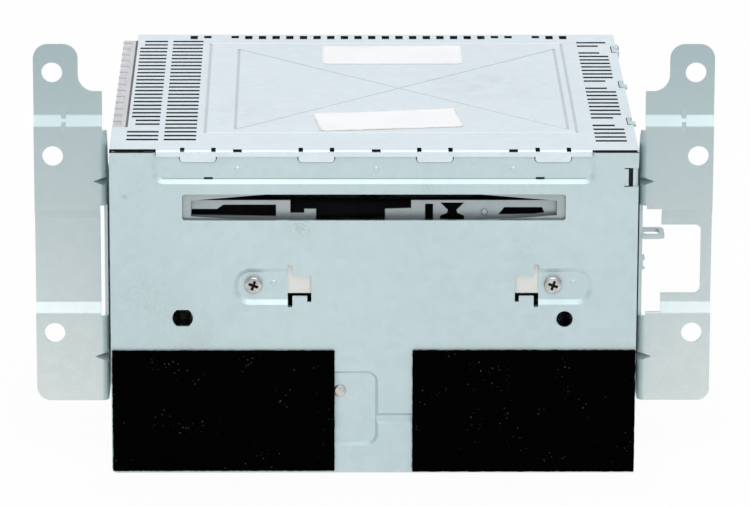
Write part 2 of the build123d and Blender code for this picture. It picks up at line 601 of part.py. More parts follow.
def dash_bracket(side):
    right = side > 0
    out = SPAN / 2
    plate = side_cut(joggled_section(), HALF_W, out + 1)
    plate &= front_cut(bracket_outline(right), 0, 30)
    plate = fillet(plate.edges().filter_by(Axis.Y).group_by(Axis.Z)[-1], 5.0)
    foot = plate.edges().filter_by(Axis.Y).group_by(Axis.Z)[0].sort_by(Axis.X)[-1]
    plate = fillet(foot, 4.0 if right else 5.0)
    back = FLANGE_BACK[side]
    front = BRACKET_SETBACK
    taper = (back - front) * 0.12
    slope = outline((front, BRACKET_FOOT), (front, FLANGE_TOP), (front + 7, FLANGE_TOP - 3),
                    (front + 15, FLANGE_LOW), (back - taper, FLANGE_LOW),
                    (back, FLANGE_LOW - taper), (back, BRACKET_FOOT + taper),
                    (back - taper, BRACKET_FOOT))
    flange = side_cut(slope, INSIDE, INNER_X)
    flange -= block(INSIDE - 1, INNER_X + 1, front - 1, front + CORNER_R, 0, SPAN)
    body = plate + flange
    relief = STEP_H / 2 + 0.9
    body += corner_bend(BRACKET_FOOT, STEP_Z[2] - relief)
    body += corner_bend(STEP_Z[1] + relief, FLANGE_TOP)
    for z in DART_Z:
        behind, dent = corner_dart(z)
        body = body + behind - dent
    gusset, dent = step_dart(SPAN / 2 - 10.1)
    body = body + gusset - dent
    for i, z in enumerate(HOLE_Z):
        body -= pin_y(HOLE_X + (MID_SHIFT if right and i == 1 else 0), z, 0, 30, HOLE_R)
    for y, z in BOSS_AT[side]:
        body += pin_x(y, z, WALL_X, INSIDE, 5.0)
        body -= pin_x(y, z, WALL_X + BRACKET_T, INNER_X + 1, 4.0)
        body -= pin_x(y, z, WALL_X - 1, INNER_X + 1, SHAFT_R + RUN)
    if right:
        tab = block(INNER_X - 0.5, INNER_X + 7.6, 8, 19, 80.5, 81.7)
        tab = fillet(tab.edges().filter_by(Axis.Z).group_by(Axis.X)[-1], 2.0)
        tab -= flat_cut(rect(INNER_X + 0.5, INNER_X + 6.0, 10.5, 17.0, 1.5), 79, 84)
        body += tab
        return body
    return mirror(body, Plane.YZ)


def harness_clip():
    """Wire loop that hangs in the right bracket's flange."""
    x = INNER_X
    loop = block(x, x + 1.0, 9.5, 10.5, 69.4, 73.4) - block(x + 0.4, x + 2, 9, 11, 70.2, 72.6)
    return loop + block(x, x + 1.0, 9.5, 14.0, 72.6, 73.4)


# ---- felt pads -------------------------------------------------------------------------
PAD_GAP = 26.4            # between the two pads


def felt_pad(x0, x1, z0, z1):
    return front_cut(rect(x0, x1, z0, z1, 0.6), -PAD_T, 0)


# ---- slot guide plate and shutter ------------------------------------------------------
GUIDE_LOW = SCREW_Z - 9.7
GUIDE_HIGH = SLOT_Z + 8.6
LENS_X = DISC_R + 1.7     # the disc's half width and a running gap


def at_slot(*points):
    """Outline whose heights are counted from the middle of the slot."""
    return outline(*[(x, SLOT_Z + z) for x, z in points])


def slot_guide_plate():
    y0, y1 = GUIDE_Y, GUIDE_Y + GUIDE_T
    half = MECH_X - 1.0
    plate = block(-half, half, y0, y1, GUIDE_LOW, GUIDE_HIGH)
    lens = at_slot((-LENS_X, 1.85), (-24, 5.05), (23, 5.05), (LENS_X, 1.85),
                   (LENS_X, -3.35), (30, -5.45), (-30, -5.45), (-LENS_X, -3.65))
    plate -= front_cut(lens, y0 - 1, y1 + 1)
    for side in (-1, 1):
        edge = sorted((side * (half - GUIDE_T), side * half))
        plate += block(*edge, y1, y1 + 8, GUIDE_LOW + 5, GUIDE_HIGH - 2)
        # a folded runner that keeps the shutter upright
        x0, x1 = sorted((side * (SHUTTER_X + RUN), side * (SHUTTER_X + RUN + 1.0)))
        plate += block(x0, x1, y1, SHUTTER_Y + SHUTTER_T + 1.3, *RUNNER_Z)
        x0, x1 = sorted((side * (SHUTTER_X - 1.5), side * (SHUTTER_X + RUN + 1.0)))
        back = SHUTTER_Y + SHUTTER_T + RUN
        plate += block(x0, x1, back, back + 1.0, *RUNNER_Z)
    for x, z in SCREW_AT:
        plate -= pin_y(x, z, y0 - 1, y1 + 1, SHAFT_R + RUN)
    for wx, side in WINDOW_AT:
        x0, x1 = sorted((wx, wx + side * 8.5))
        plate -= block(x0, x1, y0 - 1, y1 + 1, SCREW_Z - 8.0, SCREW_Z - 3.4)
    plate -= pin_y(*KEYED_AT, y0 - 1, y1 + 1, 4.0)
    return plate


SHUTTER_X = DISC_R + 3.0
SHUTTER_Y = GUIDE_Y + GUIDE_T + SHUTTER_GAP
SHUTTER_TOP = SLOT_Z + 1.2
SHUTTER_LOW = SLOT_Z - 19.85
RUNNER_Z = (SHUTTER_LOW - 4.0, SLOT_Z + 5.15)


def shutter_plate():
    y0, y1 = SHUTTER_Y, SHUTTER_Y + SHUTTER_T
    top = SHUTTER_TOP
    plate = block(-SHUTTER_X, SHUTTER_X, y0, y1, SHUTTER_LOW, top)
    centre = at_slot((-28.2, 3), (-28.2, -3.25), (-23.5, -3.25), (-23.5, -1.85),
                     (-19.5, -1.85), (-19.5, -13.85), (3.8, -13.85), (3.8, -1.85),
                     (12.6, -1.55), (12.6, 3))
    left = at_slot((-61.6, -3.95), (-61.6, -1.85), (-52.9, -1.85), (-50.8, -0.35),
                   (-33.0, -0.35), (-33.0, -4.45))
    hook = at_slot((22.4, 0.35), (30.5, 0.35), (27.9, -2.25), (28.2, -3.25), (30.5, -4.25),
                   (30.5, -5.75), (22.4, -5.75), (22.4, -4.25), (24.7, -3.25), (25.0, -2.25))
    right = at_slot((42.0, -3.85), (44.0, -1.25), (56.8, -1.25), (57.6, -3.15),
                    (53.8, -3.65))
    bar = rect(17.3, 20.0, SLOT_Z - 9.85, SLOT_Z - 0.05, 0.4)
    for cut in (centre, left, hook, right, bar):
        plate -= front_cut(cut, y0 - 1, y1 + 1)
    pin = pin_y(37.3, SLOT_Z - 2.85, y0 - 0.9, y0, 1.15)
    pin = fillet(pin.edges().filter_by(GeomType.CIRCLE).sort_by(Axis.Y)[0], 0.5)
    return plate + pin


# ---- mechanism frame -------------------------------------------------------------------
FRAME_FRONT = GUIDE_Y + GUIDE_T
FRAME_BACK = CASE_D - 4.0
WALL_T = 1.0
COLLAR_R = LIFT_MODULE * RING_TEETH / 2 - 6.3
ROLLER_Y = 17.0
ROLLER_Z = SLOT_Z - 0.8 - ROLLER_R
PIVOT_R = 2.5
IDLER_TEETH = 24
ROLLER_TEETH = 16
MOTOR_TEETH = 12
GEAR_X1 = -MECH_X - RUN
GEAR_X0 = GEAR_X1 - 2.4
IDLER_AT = polar(ROLLER_Y, ROLLER_Z, LOAD_MODULE * (ROLLER_TEETH + IDLER_TEETH) / 2, -50)
MOTOR_AT = polar(*IDLER_AT, LOAD_MODULE * (IDLER_TEETH + MOTOR_TEETH) / 2, -90)
SCREW_ANGLES = {"left": 203.6, "right": -23.6, "rear": 90.0}
DRIVE_ANGLE = -62.0
DECK_TOP = DECK_Z + DECK_T


def mech_frame():
    frame = block(-MECH_X, MECH_X, FRAME_FRONT + 8, FRAME_BACK, DECK_Z, DECK_TOP)
    for side in (-1, 1):
        edge = sorted((side * (MECH_X - WALL_T), side * MECH_X))
        frame += block(*edge, FRAME_FRONT, FRAME_BACK, DECK_Z, FRAME_TOP)
        frame -= pin_x(ROLLER_Y, ROLLER_Z, side * MECH_X - 3, side * MECH_X + 3, 3.0)
        frame -= block(side * MECH_X - 3, side * MECH_X + 3, DISC_Y - 22, DISC_Y + 22,
                       DECK_Z + 20, SLOT_Z + 4)
    ring = Circle(COLLAR_R) - Circle(COLLAR_R - 3.0)
    frame += flat_cut(Pos(0, DISC_Y) * ring, DECK_TOP, DECK_TOP + 3.4)
    frame -= flat_cut(Pos(0, DISC_Y) * Circle(DISC_R - 26), DECK_Z - 1, DECK_TOP + 1)
    for angle in SCREW_ANGLES.values():
        frame -= post(*polar(0, DISC_Y, SCREW_CIRCLE, angle), DECK_Z - 1, DECK_TOP + 1,
                      SHAFT_R + FIT)
    frame -= post(*polar(0, DISC_Y, SCREW_CIRCLE, DRIVE_ANGLE), DECK_Z - 1, DECK_TOP + 1, 2.4)
    frame -= post(PIVOT[0] - SWING_DIST, PIVOT[1], DECK_Z - 1, DECK_TOP + 1, 2.6)
    frame += post(*PIVOT, DECK_TOP, ARM_Z - RUN, 5.0)
    frame += post(*PIVOT, DECK_Z, CLAMP_TOP, PIVOT_R)
    for x in (-MECH_POST_X, MECH_POST_X):
        for y in MECH_POST_Y:
            frame -= post(x, y, DECK_Z - 1, DECK_TOP + 1, SHAFT_R + RUN)
    y, z = IDLER_AT
    frame += pin_x(y, z, GEAR_X0 - 0.2, -MECH_X, SHAFT_R)
    frame -= pin_x(*MOTOR_AT, -MECH_X - 1, -MECH_X + 2, SHAFT_R + RUN)
    return frame


def mech_top_plate():
    """Bridge over the mechanism that holds the upper ends of the lift screws."""
    z0, z1 = FRAME_TOP, FRAME_TOP + 1.0
    half = MECH_X
    plate = block(-half, half, FRAME_FRONT + 4, FRAME_BACK, z0, z1)
    plate -= flat_cut(Pos(0, DISC_Y) * Circle(DISC_R + 8.0), z0 - 1, z1 + 1)
    plate -= block(-MECH_X + 12, MECH_X - 12, FRAME_FRONT + 30, DISC_Y, z0 - 1, z1 + 1)
    for angle in SCREW_ANGLES.values():
        x, y = polar(0, DISC_Y, SCREW_CIRCLE, angle)
        plate += post(x, y, z0, z1, 5.0)
        plate -= post(x, y, z0 - 1, z1 + 1, SHAFT_R + FIT)
    return plate


def disc_guide():
    """Black upper guide over the loading roller, bowed so that only disc edges touch it."""
    z0 = SLOT_Z + 1.5
    front = FRAME_FRONT + 8.5
    guide = block(-MECH_X + WALL_T, MECH_X - WALL_T, front, 25.5, z0, z0 + 4.2)
    bow = outline((-LENS_X, z0 - 1), (-LENS_X, z0), (-24, z0 + 2.6), (24, z0 + 2.6),
                  (LENS_X, z0), (LENS_X, z0 - 1))
    return guide - front_cut(bow, 9, 26)


def mech_posts():
    return [post(x, y, SHEET, DECK_Z - DAMPER_H, 3.5) for x in (-MECH_POST_X, MECH_POST_X)
            for y in MECH_POST_Y]


def mech_dampers():
    ring = Cylinder(5.0, DAMPER_H) - Cylinder(SHAFT_R + FIT, DAMPER_H + 1)
    return [Pos(x, y, DECK_Z - DAMPER_H / 2) * ring for x in (-MECH_POST_X, MECH_POST_X)
            for y in MECH_POST_Y]


def mech_screws():
    return [post(x, y, DECK_TOP, DECK_TOP + 1.6, 3.0)
            + post(x, y, DECK_Z - DAMPER_H, DECK_TOP, SHAFT_R)
            for x in (-MECH_POST_X, MECH_POST_X) for y in MECH_POST_Y]


# ---- loading roller and its gears ------------------------------------------------------
def loading_roller():
    half = MECH_X - WALL_T - 6
    profile = outline((0, 0), (half, 0), (half, ROLLER_R), (half - 26, ROLLER_R), (0, 3.0))
    right = revolve(Plane.XY * profile, Axis.X)
    roller = right + mirror(right, Plane.YZ)
    roller -= Rot(0, 90, 0) * Cylinder(SHAFT_R, 2 * half + 1)
    return Pos(0, ROLLER_Y, ROLLER_Z) * roller


def roller_shaft():
    return pin_x(ROLLER_Y, ROLLER_Z, GEAR_X0, MECH_X + 1.0, SHAFT_R)


def roller_bushes():
    ring = Rot(0, 90, 0) * (Cylinder(3.0, WALL_T + 2) - Cylinder(SHAFT_R + FIT, 9))
    return [Pos(side * (MECH_X - WALL_T / 2 - 1.0), ROLLER_Y, ROLLER_Z) * ring
            for side in (-1, 1)]


ROLLER_PHASE = 0.0
IDLER_PHASE = mesh_phase(ROLLER_TEETH, ROLLER_PHASE, -50, IDLER_TEETH)
MOTOR_PHASE = mesh_phase(IDLER_TEETH, IDLER_PHASE, -90, MOTOR_TEETH)


def side_gear(centre, teeth, phase, bore):
    shape = Pos(*centre) * gear_outline(teeth, LOAD_MODULE, phase)
    return side_cut(shape, GEAR_X0, GEAR_X1) - pin_x(*centre, GEAR_X0 - 1, GEAR_X1 + 1, bore)


def loading_motor():
    y, z = MOTOR_AT
    x0 = -MECH_X + WALL_T
    body = pin_x(y, z, x0, x0 + 26, 8.0) & block(x0, 0, y - 6, y + 6, 0, 200)
    return body + pin_x(y, z, GEAR_X0, x0, 1.0)


# ---- disc stack and its lift -----------------------------------------------------------
TRAY_OUT = DISC_R + TRAY_RIM
TRAY_IN = DISC_R - 7.0
TRAY_TOP_Z = SLOT_Z - DISC_OVER - TRAY_T  # underside of the top tray's plate


def disc_tray(index):
    """C-shaped carrier that holds one disc by its rim; three ears ride the lift screws."""
    z0 = TRAY_TOP_Z - index * TRAY_PITCH
    ring = Pos(0, DISC_Y) * (Circle(TRAY_OUT) - Circle(TRAY_IN))
    tray = flat_cut(ring, z0, z0 + TRAY_T)
    rim = Pos(0, DISC_Y) * (Circle(DISC_R + 1.8) - Circle(DISC_R + 0.6))
    tray += flat_cut(rim, z0 + TRAY_T, z0 + TRAY_T + 1.3)
    tray -= block(-HALF_W, HALF_W, 0, DISC_Y - DISC_R + 20, z0 - 1, z0 + 5)
    tray -= block(-DISC_R - 0.4, DISC_R + 0.4, 0, DISC_Y, z0 + TRAY_T, z0 + 5)
    for angle in SCREW_ANGLES.values():
        x, y = polar(0, DISC_Y, SCREW_CIRCLE, angle)
        ear = Pos(x, y) * Circle(SCREW_R + 1.2)
        ear += Pos(0, DISC_Y) * Rot(0, 0, angle) * Pos(SCREW_CIRCLE - 5, 0) * Rectangle(8, 6)
        tray += flat_cut(ear, z0, z0 + TRAY_T)
    for angle in SCREW_ANGLES.values():
        x, y = polar(0, DISC_Y, SCREW_CIRCLE, angle)
        tray -= post(x, y, z0 - 1, z0 + 5, SCREW_R + FIT)
    return tray


RING_PHASE = 0.0


def lift_screw(angle):
    x, y = polar(0, DISC_Y, SCREW_CIRCLE, angle)
    phase = mesh_phase(RING_TEETH, RING_PHASE, angle, PINION_TEETH)
    gear = Pos(x, y) * gear_outline(PINION_TEETH, LIFT_MODULE, phase)
    low = DECK_TOP + RUN
    screw = flat_cut(gear, low, low + 3.0)
    screw += post(x, y, low + 3.0, FRAME_TOP - RUN, SCREW_R)
    screw += post(x, y, DECK_Z, FRAME_TOP + 0.9, SHAFT_R)
    return screw


def lift_ring_gear():
    low = DECK_TOP + RUN
    gear = flat_cut(Pos(0, DISC_Y) * gear_outline(RING_TEETH, LIFT_MODULE, RING_PHASE),
                    low, low + 2.6)
    return gear - post(0, DISC_Y, low - 1, low + 4, COLLAR_R + RUN)


def lift_pinion():
    x, y = polar(0, DISC_Y, SCREW_CIRCLE, DRIVE_ANGLE)
    phase = mesh_phase(RING_TEETH, RING_PHASE, DRIVE_ANGLE, PINION_TEETH)
    low = DECK_TOP + RUN
    gear = flat_cut(Pos(x, y) * gear_outline(PINION_TEETH, LIFT_MODULE, phase), low, low + 2.6)
    return gear - post(x, y, low - 1, low + 4, 1.0 + FIT)


def lift_motor():
    x, y = polar(0, DISC_Y, SCREW_CIRCLE, DRIVE_ANGLE)
    return post(x, y, DECK_Z - 18, DECK_Z, 9.0) + post(x, y, DECK_Z, DECK_TOP + 3.0, 1.0)


# ---- play unit: an arm that swings the turntable and pickup under the disc --------------
CLAMP_TOP = DECK_Z + PLAY_H        # top of the pivot post
CLAMP_Z = CLAMP_TOP - 5.0
PLAY_Z = CLAMP_TOP - 10.0
TABLE_Z = CLAMP_TOP - 16.0
ROD_Z = CLAMP_TOP - 23.0
ARM_Z = CLAMP_TOP - 30.0
ARM_T = 1.2
ROD_R = 1.25
ROD_W = 14.0
ARM_LENGTH = math.hypot(PIVOT[0], PIVOT[1] - DISC_Y)
ARM_REST = 180 + math.degrees(math.atan2(PIVOT[1] - DISC_Y, PIVOT[0])) + ARM_SWING
SLED_MID = ARM_LENGTH - 40.0       # middle of the pickup sled along the arm
SLED_HALF = 8.0
SLED_OUT = 16.0                    # travel towards the spindle
SLED_BACK = 15.0                   # travel towards the pivot
SLED_W = 17.0
FEED_TEETH = 14
FEED_MODULE = 0.8
RACK_LINE = SLED_W + 1.6           # pitch line of the rack beside the sled
FEED_AT = (SLED_MID, -RACK_LINE - FEED_MODULE * FEED_TEETH / 2)
HINGE_U = 12.0
HINGE_Z = CLAMP_Z + 0.8
SWING_DIST = LIFT_MODULE * (SWING_TEETH + PINION_TEETH) / 2


def on_arm(shape):
    """Place a shape drawn with the pivot at the origin and the spindle along +X."""
    return Pos(*PIVOT, 0) * Rot(0, 0, ARM_REST) * shape


def play_arm():
    top = ARM_Z + ARM_T
    plan = rect(18, ARM_LENGTH + 14, -20, 20, 6) + Circle(9) + rect(0, 24, -11, 11, 0)
    plan += rect(FEED_AT[0] - 7, FEED_AT[0] + 7, FEED_AT[1] - 7, 0, 3)
    plan -= rect(24, ARM_LENGTH - 15, -10, 10, 2)
    plan -= Circle(PIVOT_R + FIT)
    arm = flat_cut(plan, ARM_Z, top)
    arm += flat_cut(Circle(4.6) - Circle(PIVOT_R + FIT), top, CLAMP_Z - 6)
    sector = gear_outline(SWING_TEETH, LIFT_MODULE, 0) - Circle(5.0 + RUN)
    arm += flat_cut(sector, ARM_Z - 2.6, ARM_Z)
    for u in (20.0, ARM_LENGTH - 14.0):
        for side in (-1, 1):
            holder = block(u - 1.5, u + 1.5, side * ROD_W - 2.5, side * ROD_W + 2.5, top,
                           ROD_Z + 2.4)
            holder -= pin_x(side * ROD_W, ROD_Z, u - 2, u + 2, ROD_R)
            arm += holder
    for side in (-1, 1):
        v0, v1 = sorted((side * 9.4, side * 10.6))
        ear = block(HINGE_U - 3.5, HINGE_U + 3.5, v0, v1, top, HINGE_Z + 2.4)
        arm += ear - pin_y(HINGE_U, HINGE_Z, -12, 12, 1.0 + FIT)
    return on_arm(arm)


def swing_pinion():
    x, y = PIVOT[0] - SWING_DIST, PIVOT[1]
    phase = mesh_phase(SWING_TEETH, ARM_REST, 180, PINION_TEETH)
    gear = Pos(x, y) * gear_outline(PINION_TEETH, LIFT_MODULE, phase)
    return flat_cut(gear, ARM_Z - 2.6, ARM_Z) - post(x, y, ARM_Z - 4, ARM_Z + 1, 1.0 + FIT)


def swing_motor():
    x, y = PIVOT[0] - SWING_DIST, PIVOT[1]
    body = post(x, y, DECK_Z - 16, DECK_Z, 6.5) + post(x, y, DECK_Z, ARM_Z, 1.0)
    return body + post(x, y, DECK_TOP, ARM_Z - 2.6 - RUN, 2.2)


def guide_rods():
    rods = [pin_x(side * ROD_W, ROD_Z, 18.5, ARM_LENGTH - 12.5, ROD_R) for side in (-1, 1)]
    return [on_arm(rod) for rod in rods]


def spindle_motor():
    body = post(ARM_LENGTH, 0, ARM_Z + ARM_T, TABLE_Z - 2.0, 12.5)
    return on_arm(body + post(ARM_LENGTH, 0, TABLE_Z - 2.0, PLAY_Z - 1, 1.0))


def turntable():
    plate = post(ARM_LENGTH, 0, TABLE_Z, TABLE_Z + 1.6, 14.5)
    plate += Pos(ARM_LENGTH, 0, TABLE_Z + 3.2) * Cone(7.4, 6.6, 3.2)
    plate += post(ARM_LENGTH, 0, TABLE_Z - 1.6, TABLE_Z, 3.0)
    return on_arm(plate - post(ARM_LENGTH, 0, TABLE_Z - 3, PLAY_Z - 0.4, 1.0 + FIT))


FEED_Z = ROD_Z - 1.2


def rack_outline():
    """Toothed bar beside the sled; a tooth is centred on the feed gear at rest."""
    pitch = math.pi * FEED_MODULE
    low, high = RACK_LINE - DEDENDUM * FEED_MODULE, RACK_LINE + ADDENDUM * FEED_MODULE
    half = (pitch / 2 - BACKLASH) / 2
    lean = math.tan(PRESSURE)
    ends = (-int((SLED_OUT + 4) / pitch), int((SLED_BACK + 4) / pitch))
    points = [(SLED_MID + ends[0] * pitch - 1.5, -SLED_W + 0.5),
              (SLED_MID + ends[0] * pitch - 1.5, -low)]
    for i in range(ends[0], ends[1] + 1):
        u = SLED_MID + i * pitch
        root = half + DEDENDUM * FEED_MODULE * lean
        tip = half - ADDENDUM * FEED_MODULE * lean
        points += [(u - root, -low), (u - tip, -high), (u + tip, -high), (u + root, -low)]
    points += [(SLED_MID + ends[1] * pitch + 1.5, -low),
               (SLED_MID + ends[1] * pitch + 1.5, -SLED_W + 0.5)]
    return outline(*points)


def feed_gear():
    phase = 90 + 180 / FEED_TEETH
    gear = Pos(*FEED_AT) * gear_outline(FEED_TEETH, FEED_MODULE, phase)
    gear = flat_cut(gear, FEED_Z, FEED_Z + 2.4)
    return on_arm(gear - post(*FEED_AT, FEED_Z - 1, FEED_Z + 4, 1.0 + FIT))


def feed_motor():
    body = post(*FEED_AT, ARM_Z + ARM_T, FEED_Z - RUN, 5.0)
    return on_arm(body + post(*FEED_AT, FEED_Z - RUN, FEED_Z + 2.8, 1.0))


def pickup_sled():
    u0, u1 = SLED_MID - SLED_HALF, SLED_MID + SLED_HALF
    body = block(u0, u1, -SLED_W, SLED_W, ROD_Z - 3.5, ROD_Z + 3.5)
    body = fillet(body.edges().filter_by(Axis.Z), 2.0)
    for side in (-1, 1):
        body -= pin_x(side * ROD_W, ROD_Z, u0 - 1, u1 + 1, ROD_R + FIT)
    body += post(SLED_MID, 0, ROD_Z + 3.5, ROD_Z + 5.0, 6.0)
    return on_arm(body + flat_cut(rack_outline(), FEED_Z, FEED_Z + 2.4))


def pickup_lens():
    z = ROD_Z + 5.0
    return on_arm(post(SLED_MID, 0, z, z + 1.2, 2.4))


def clamp_arm():
    z0, z1 = CLAMP_Z, CLAMP_Z + 1.2
    plan = rect(4.0, ARM_LENGTH + 9, -8.4, 8.4, 3)
    plan -= Pos(ARM_LENGTH, 0) * Circle(3.6 + FIT)
    plan -= rect(26, ARM_LENGTH - 16, -4, 4, 2)
    plan -= rect(0, HINGE_U - 2.5, -9, 9, 0)
    arm = flat_cut(plan, z0, z1)
    arm += pin_y(HINGE_U, HINGE_Z, -9.1, 9.1, 1.8)
    return on_arm(arm + pin_y(HINGE_U, HINGE_Z, -10.6, 10.6, 1.0))


def clamper():
    body = post(ARM_LENGTH, 0, CLAMP_Z - 3.4, CLAMP_Z - RUN, 11.0)
    body += post(ARM_LENGTH, 0, CLAMP_Z - RUN, CLAMP_Z + 1.6, 3.6)
    body += post(ARM_LENGTH, 0, CLAMP_Z + 1.6, CLAMP_Z + 2.6, 6.0)
    return on_arm(body)


# ---- main board ------------------------------------------------------------------------
def main_board():
    board = block(10 - HALF_W, HALF_W - 10, 34, CASE_D - 4, BOARD_Z, BOARD_Z + BOARD_T)
    for x in (-STAND_X, STAND_X):
        for y in STAND_Y:
            board -= post(x, y, BOARD_Z - 1, BOARD_Z + 3, 1.6)
    for x in (-MECH_POST_X, MECH_POST_X):
        board -= block(x - 9, x + 9, MECH_POST_Y[1] - 7, CASE_D, BOARD_Z - 1, BOARD_Z + 3)
    return board


def board_screws():
    top = BOARD_Z + BOARD_T
    return [post(x, y, top, top + 1.6, 2.8) + post(x, y, BOARD_Z - 6, top, 1.25)
            for x in (-STAND_X, STAND_X) for y in STAND_Y]


def capacitors():
    top = BOARD_Z + BOARD_T
    cans = []
    for x, y, r, h in ((38, 122, 6, 18), (54, 118, 6, 18), (38, 104, 5, 15), (56, 98, 5, 15)):
        can = post(x, y, top, top + h, r)
        cans.append(chamfer(can.edges().group_by(Axis.Z)[-1], 0.6))
    return cans


def amplifier_chip():
    x0 = -(HALF_W - SINK_T) + COVER_T + SHEET
    top = BOARD_Z + BOARD_T
    return block(x0, x0 + 4.5, 70, 110, top, top + 16)


def board_chips():
    top = BOARD_Z + BOARD_T
    return [block(x - a, x + a, y - b, y + b, top, top + 2.2)
            for x, y, a, b in ((-30, 60, 9, 9), (10, 70, 7, 7), (-40, 110, 6, 10), (8, 112, 6, 4))]


# ---- build and write -------------------------------------------------------------------
def case_screws():
    """The alike screws of the brackets, of the cover's rear corners and of the heat sink."""
    bracket_seat = WALL_X + BRACKET_T
    sink_x = HALF_W - SINK_T
    screws = [side_screw(side, y, z, side * bracket_seat, 5.0)
              for side in (-1, 1) for y, z in BOSS_AT[side]]
    screws += [side_screw(side, COVER_SCREW_Y, COVER_SCREW_Z, side * seat, 5.0)
               for side, seat in ((-1, sink_x), (1, HALF_W))]
    screws += [side_screw(-1, y, SINK_SCREW_Z, -sink_x - SINK_SEAT, 5.0)
               for y in SINK_SCREW_Y]
    return screws


def drilled_shell():
    shell = chassis_shell()
    for side in (-1, 1):
        for y, z in BOSS_AT[side] + ((COVER_SCREW_Y, COVER_SCREW_Z),):
            shell -= pin_x(y, z, side * HALF_W - 8, side * HALF_W + 8, SHAFT_R)
    for y in SINK_SCREW_Y:
        shell -= pin_x(y, SINK_SCREW_Z, -HALF_W, -HALF_W + 10, SHAFT_R)
    return shell


parts = {
    "front_panel": front_panel(),
    "top_cover": top_cover(),
    "chassis_shell": drilled_shell(),
    "rear_panel": rear_panel(),
    "heat_sink": heat_sink(),
    "left_bracket": dash_bracket(-1),
    "right_bracket": dash_bracket(1),
    "harness_clip": harness_clip(),
    "felt_pad_left": felt_pad(0.3 - HALF_W, -PAD_GAP / 2, 0.8, 43.7),
    "felt_pad_right": felt_pad(PAD_GAP / 2, HALF_W - 0.1, 0.5, 43.8),
    "front_screws": [pan_screw(x, z, PRESS, 3.5) for x, z in SCREW_AT],
    "case_screws": case_screws(),
    "locating_pin": locating_pin(),
    "harness_connector": plug_housing(*MAIN_PLUG, 3.0, 2),
    "side_connector": plug_housing(*SIDE_PLUG, 2.0, 1),
    "aerial_socket": aerial_socket(),
    "slot_guide_plate": slot_guide_plate(),
    "shutter_plate": shutter_plate(),
    "mech_frame": mech_frame(),
    "mech_top_plate": mech_top_plate(),
    "disc_guide": disc_guide(),
    "mech_posts": mech_posts(),
    "mech_dampers": mech_dampers(),
    "mech_screws": mech_screws(),
    "loading_roller": loading_roller(),
    "roller_shaft": roller_shaft(),
    "roller_bushes": roller_bushes(),
    "roller_gear": side_gear((ROLLER_Y, ROLLER_Z), ROLLER_TEETH, ROLLER_PHASE, SHAFT_R),
    "loading_idler_gear": side_gear(IDLER_AT, IDLER_TEETH, IDLER_PHASE, SHAFT_R + FIT),
    "loading_motor_gear": side_gear(MOTOR_AT, MOTOR_TEETH, MOTOR_PHASE, 1.0 + FIT),
    "loading_motor": loading_motor(),
    "lift_ring_gear": lift_ring_gear(),
    "lift_pinion": lift_pinion(),
    "lift_motor": lift_motor(),
    "play_arm": play_arm(),
    "swing_pinion": swing_pinion(),
    "swing_motor": swing_motor(),
    "guide_rods": guide_rods(),
    "feed_gear": feed_gear(),
    "feed_motor": feed_motor(),
    "spindle_motor": spindle_motor(),
    "turntable": turntable(),
    "pickup_sled": pickup_sled(),
    "pickup_lens": pickup_lens(),
    "clamp_arm": clamp_arm(),
    "clamper": clamper(),
    "main_board": main_board(),
    "board_screws": board_screws(),
    "board_capacitors": capacitors(),
    "amplifier_chip": amplifier_chip(),
    "board_chips": board_chips(),
}
for i in range(TRAY_COUNT):
    parts[f"disc_tray_{i + 1}"] = disc_tray(i)
for name, angle in SCREW_ANGLES.items():
    parts[f"lift_screw_{name}"] = lift_screw(angle)

os.makedirs("parts", exist_ok=True)
for name, piece in parts.items():
    solids = piece if isinstance(piece, list) else [piece]
    solids = [Pos(0, FACE_Y, 0) * s for s in solids]
    shape = Compound(children=solids) if len(solids) > 1 else solids[0]
    shape.label = name
    export_step(shape, f"parts/{name}.step")
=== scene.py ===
# %% [markdown]
# # A car disc changer in galvanised sheet steel
# The solid parts come from CAD and stay as they are. This file gives every part its finish and
# makes the pieces that CAD leaves plain: the two felt pads and the two paper labels. It also
# sets the camera, the light and the floor.

# %% Load the parts
import math

import bmesh
import bpy
from mathutils import Matrix, Vector


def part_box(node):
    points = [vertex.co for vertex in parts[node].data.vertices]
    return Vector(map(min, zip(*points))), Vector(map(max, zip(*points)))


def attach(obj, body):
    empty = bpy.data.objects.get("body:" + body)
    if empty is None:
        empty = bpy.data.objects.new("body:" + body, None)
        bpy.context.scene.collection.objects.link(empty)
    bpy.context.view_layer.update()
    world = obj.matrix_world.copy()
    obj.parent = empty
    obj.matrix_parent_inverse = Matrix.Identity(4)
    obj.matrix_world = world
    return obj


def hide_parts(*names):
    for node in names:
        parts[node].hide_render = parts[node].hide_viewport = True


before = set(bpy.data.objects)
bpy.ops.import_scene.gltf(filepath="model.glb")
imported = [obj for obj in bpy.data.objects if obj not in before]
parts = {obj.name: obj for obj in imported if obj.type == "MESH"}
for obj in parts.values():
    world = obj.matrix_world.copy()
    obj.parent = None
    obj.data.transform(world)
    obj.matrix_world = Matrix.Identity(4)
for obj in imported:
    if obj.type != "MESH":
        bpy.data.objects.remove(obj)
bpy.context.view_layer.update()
front_low, front_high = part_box("front_panel")
FACE = front_low.y        # the plane of the front sheet, in metres
print("parts:", len(parts), "front sheet at y =", round(FACE, 4))

# %% [markdown]
# ## The camera
# The photograph was taken with a long lens from a little above. Eight corners of the case fix
# the place and the turn of the camera: it stands 1.77 m before the front sheet and looks down
# by 16 degrees, and its lens is as long as 261 mm on a 36 mm sensor.

# %% Place the camera
CAMERA_PLACE = (-0.02198, FACE - 1.76555, 0.58415)
CAMERA_TURNS = ((-0.7254, "Z"), (-16.003, "X"), (-0.180, "Y"), (90, "X"))     # degrees

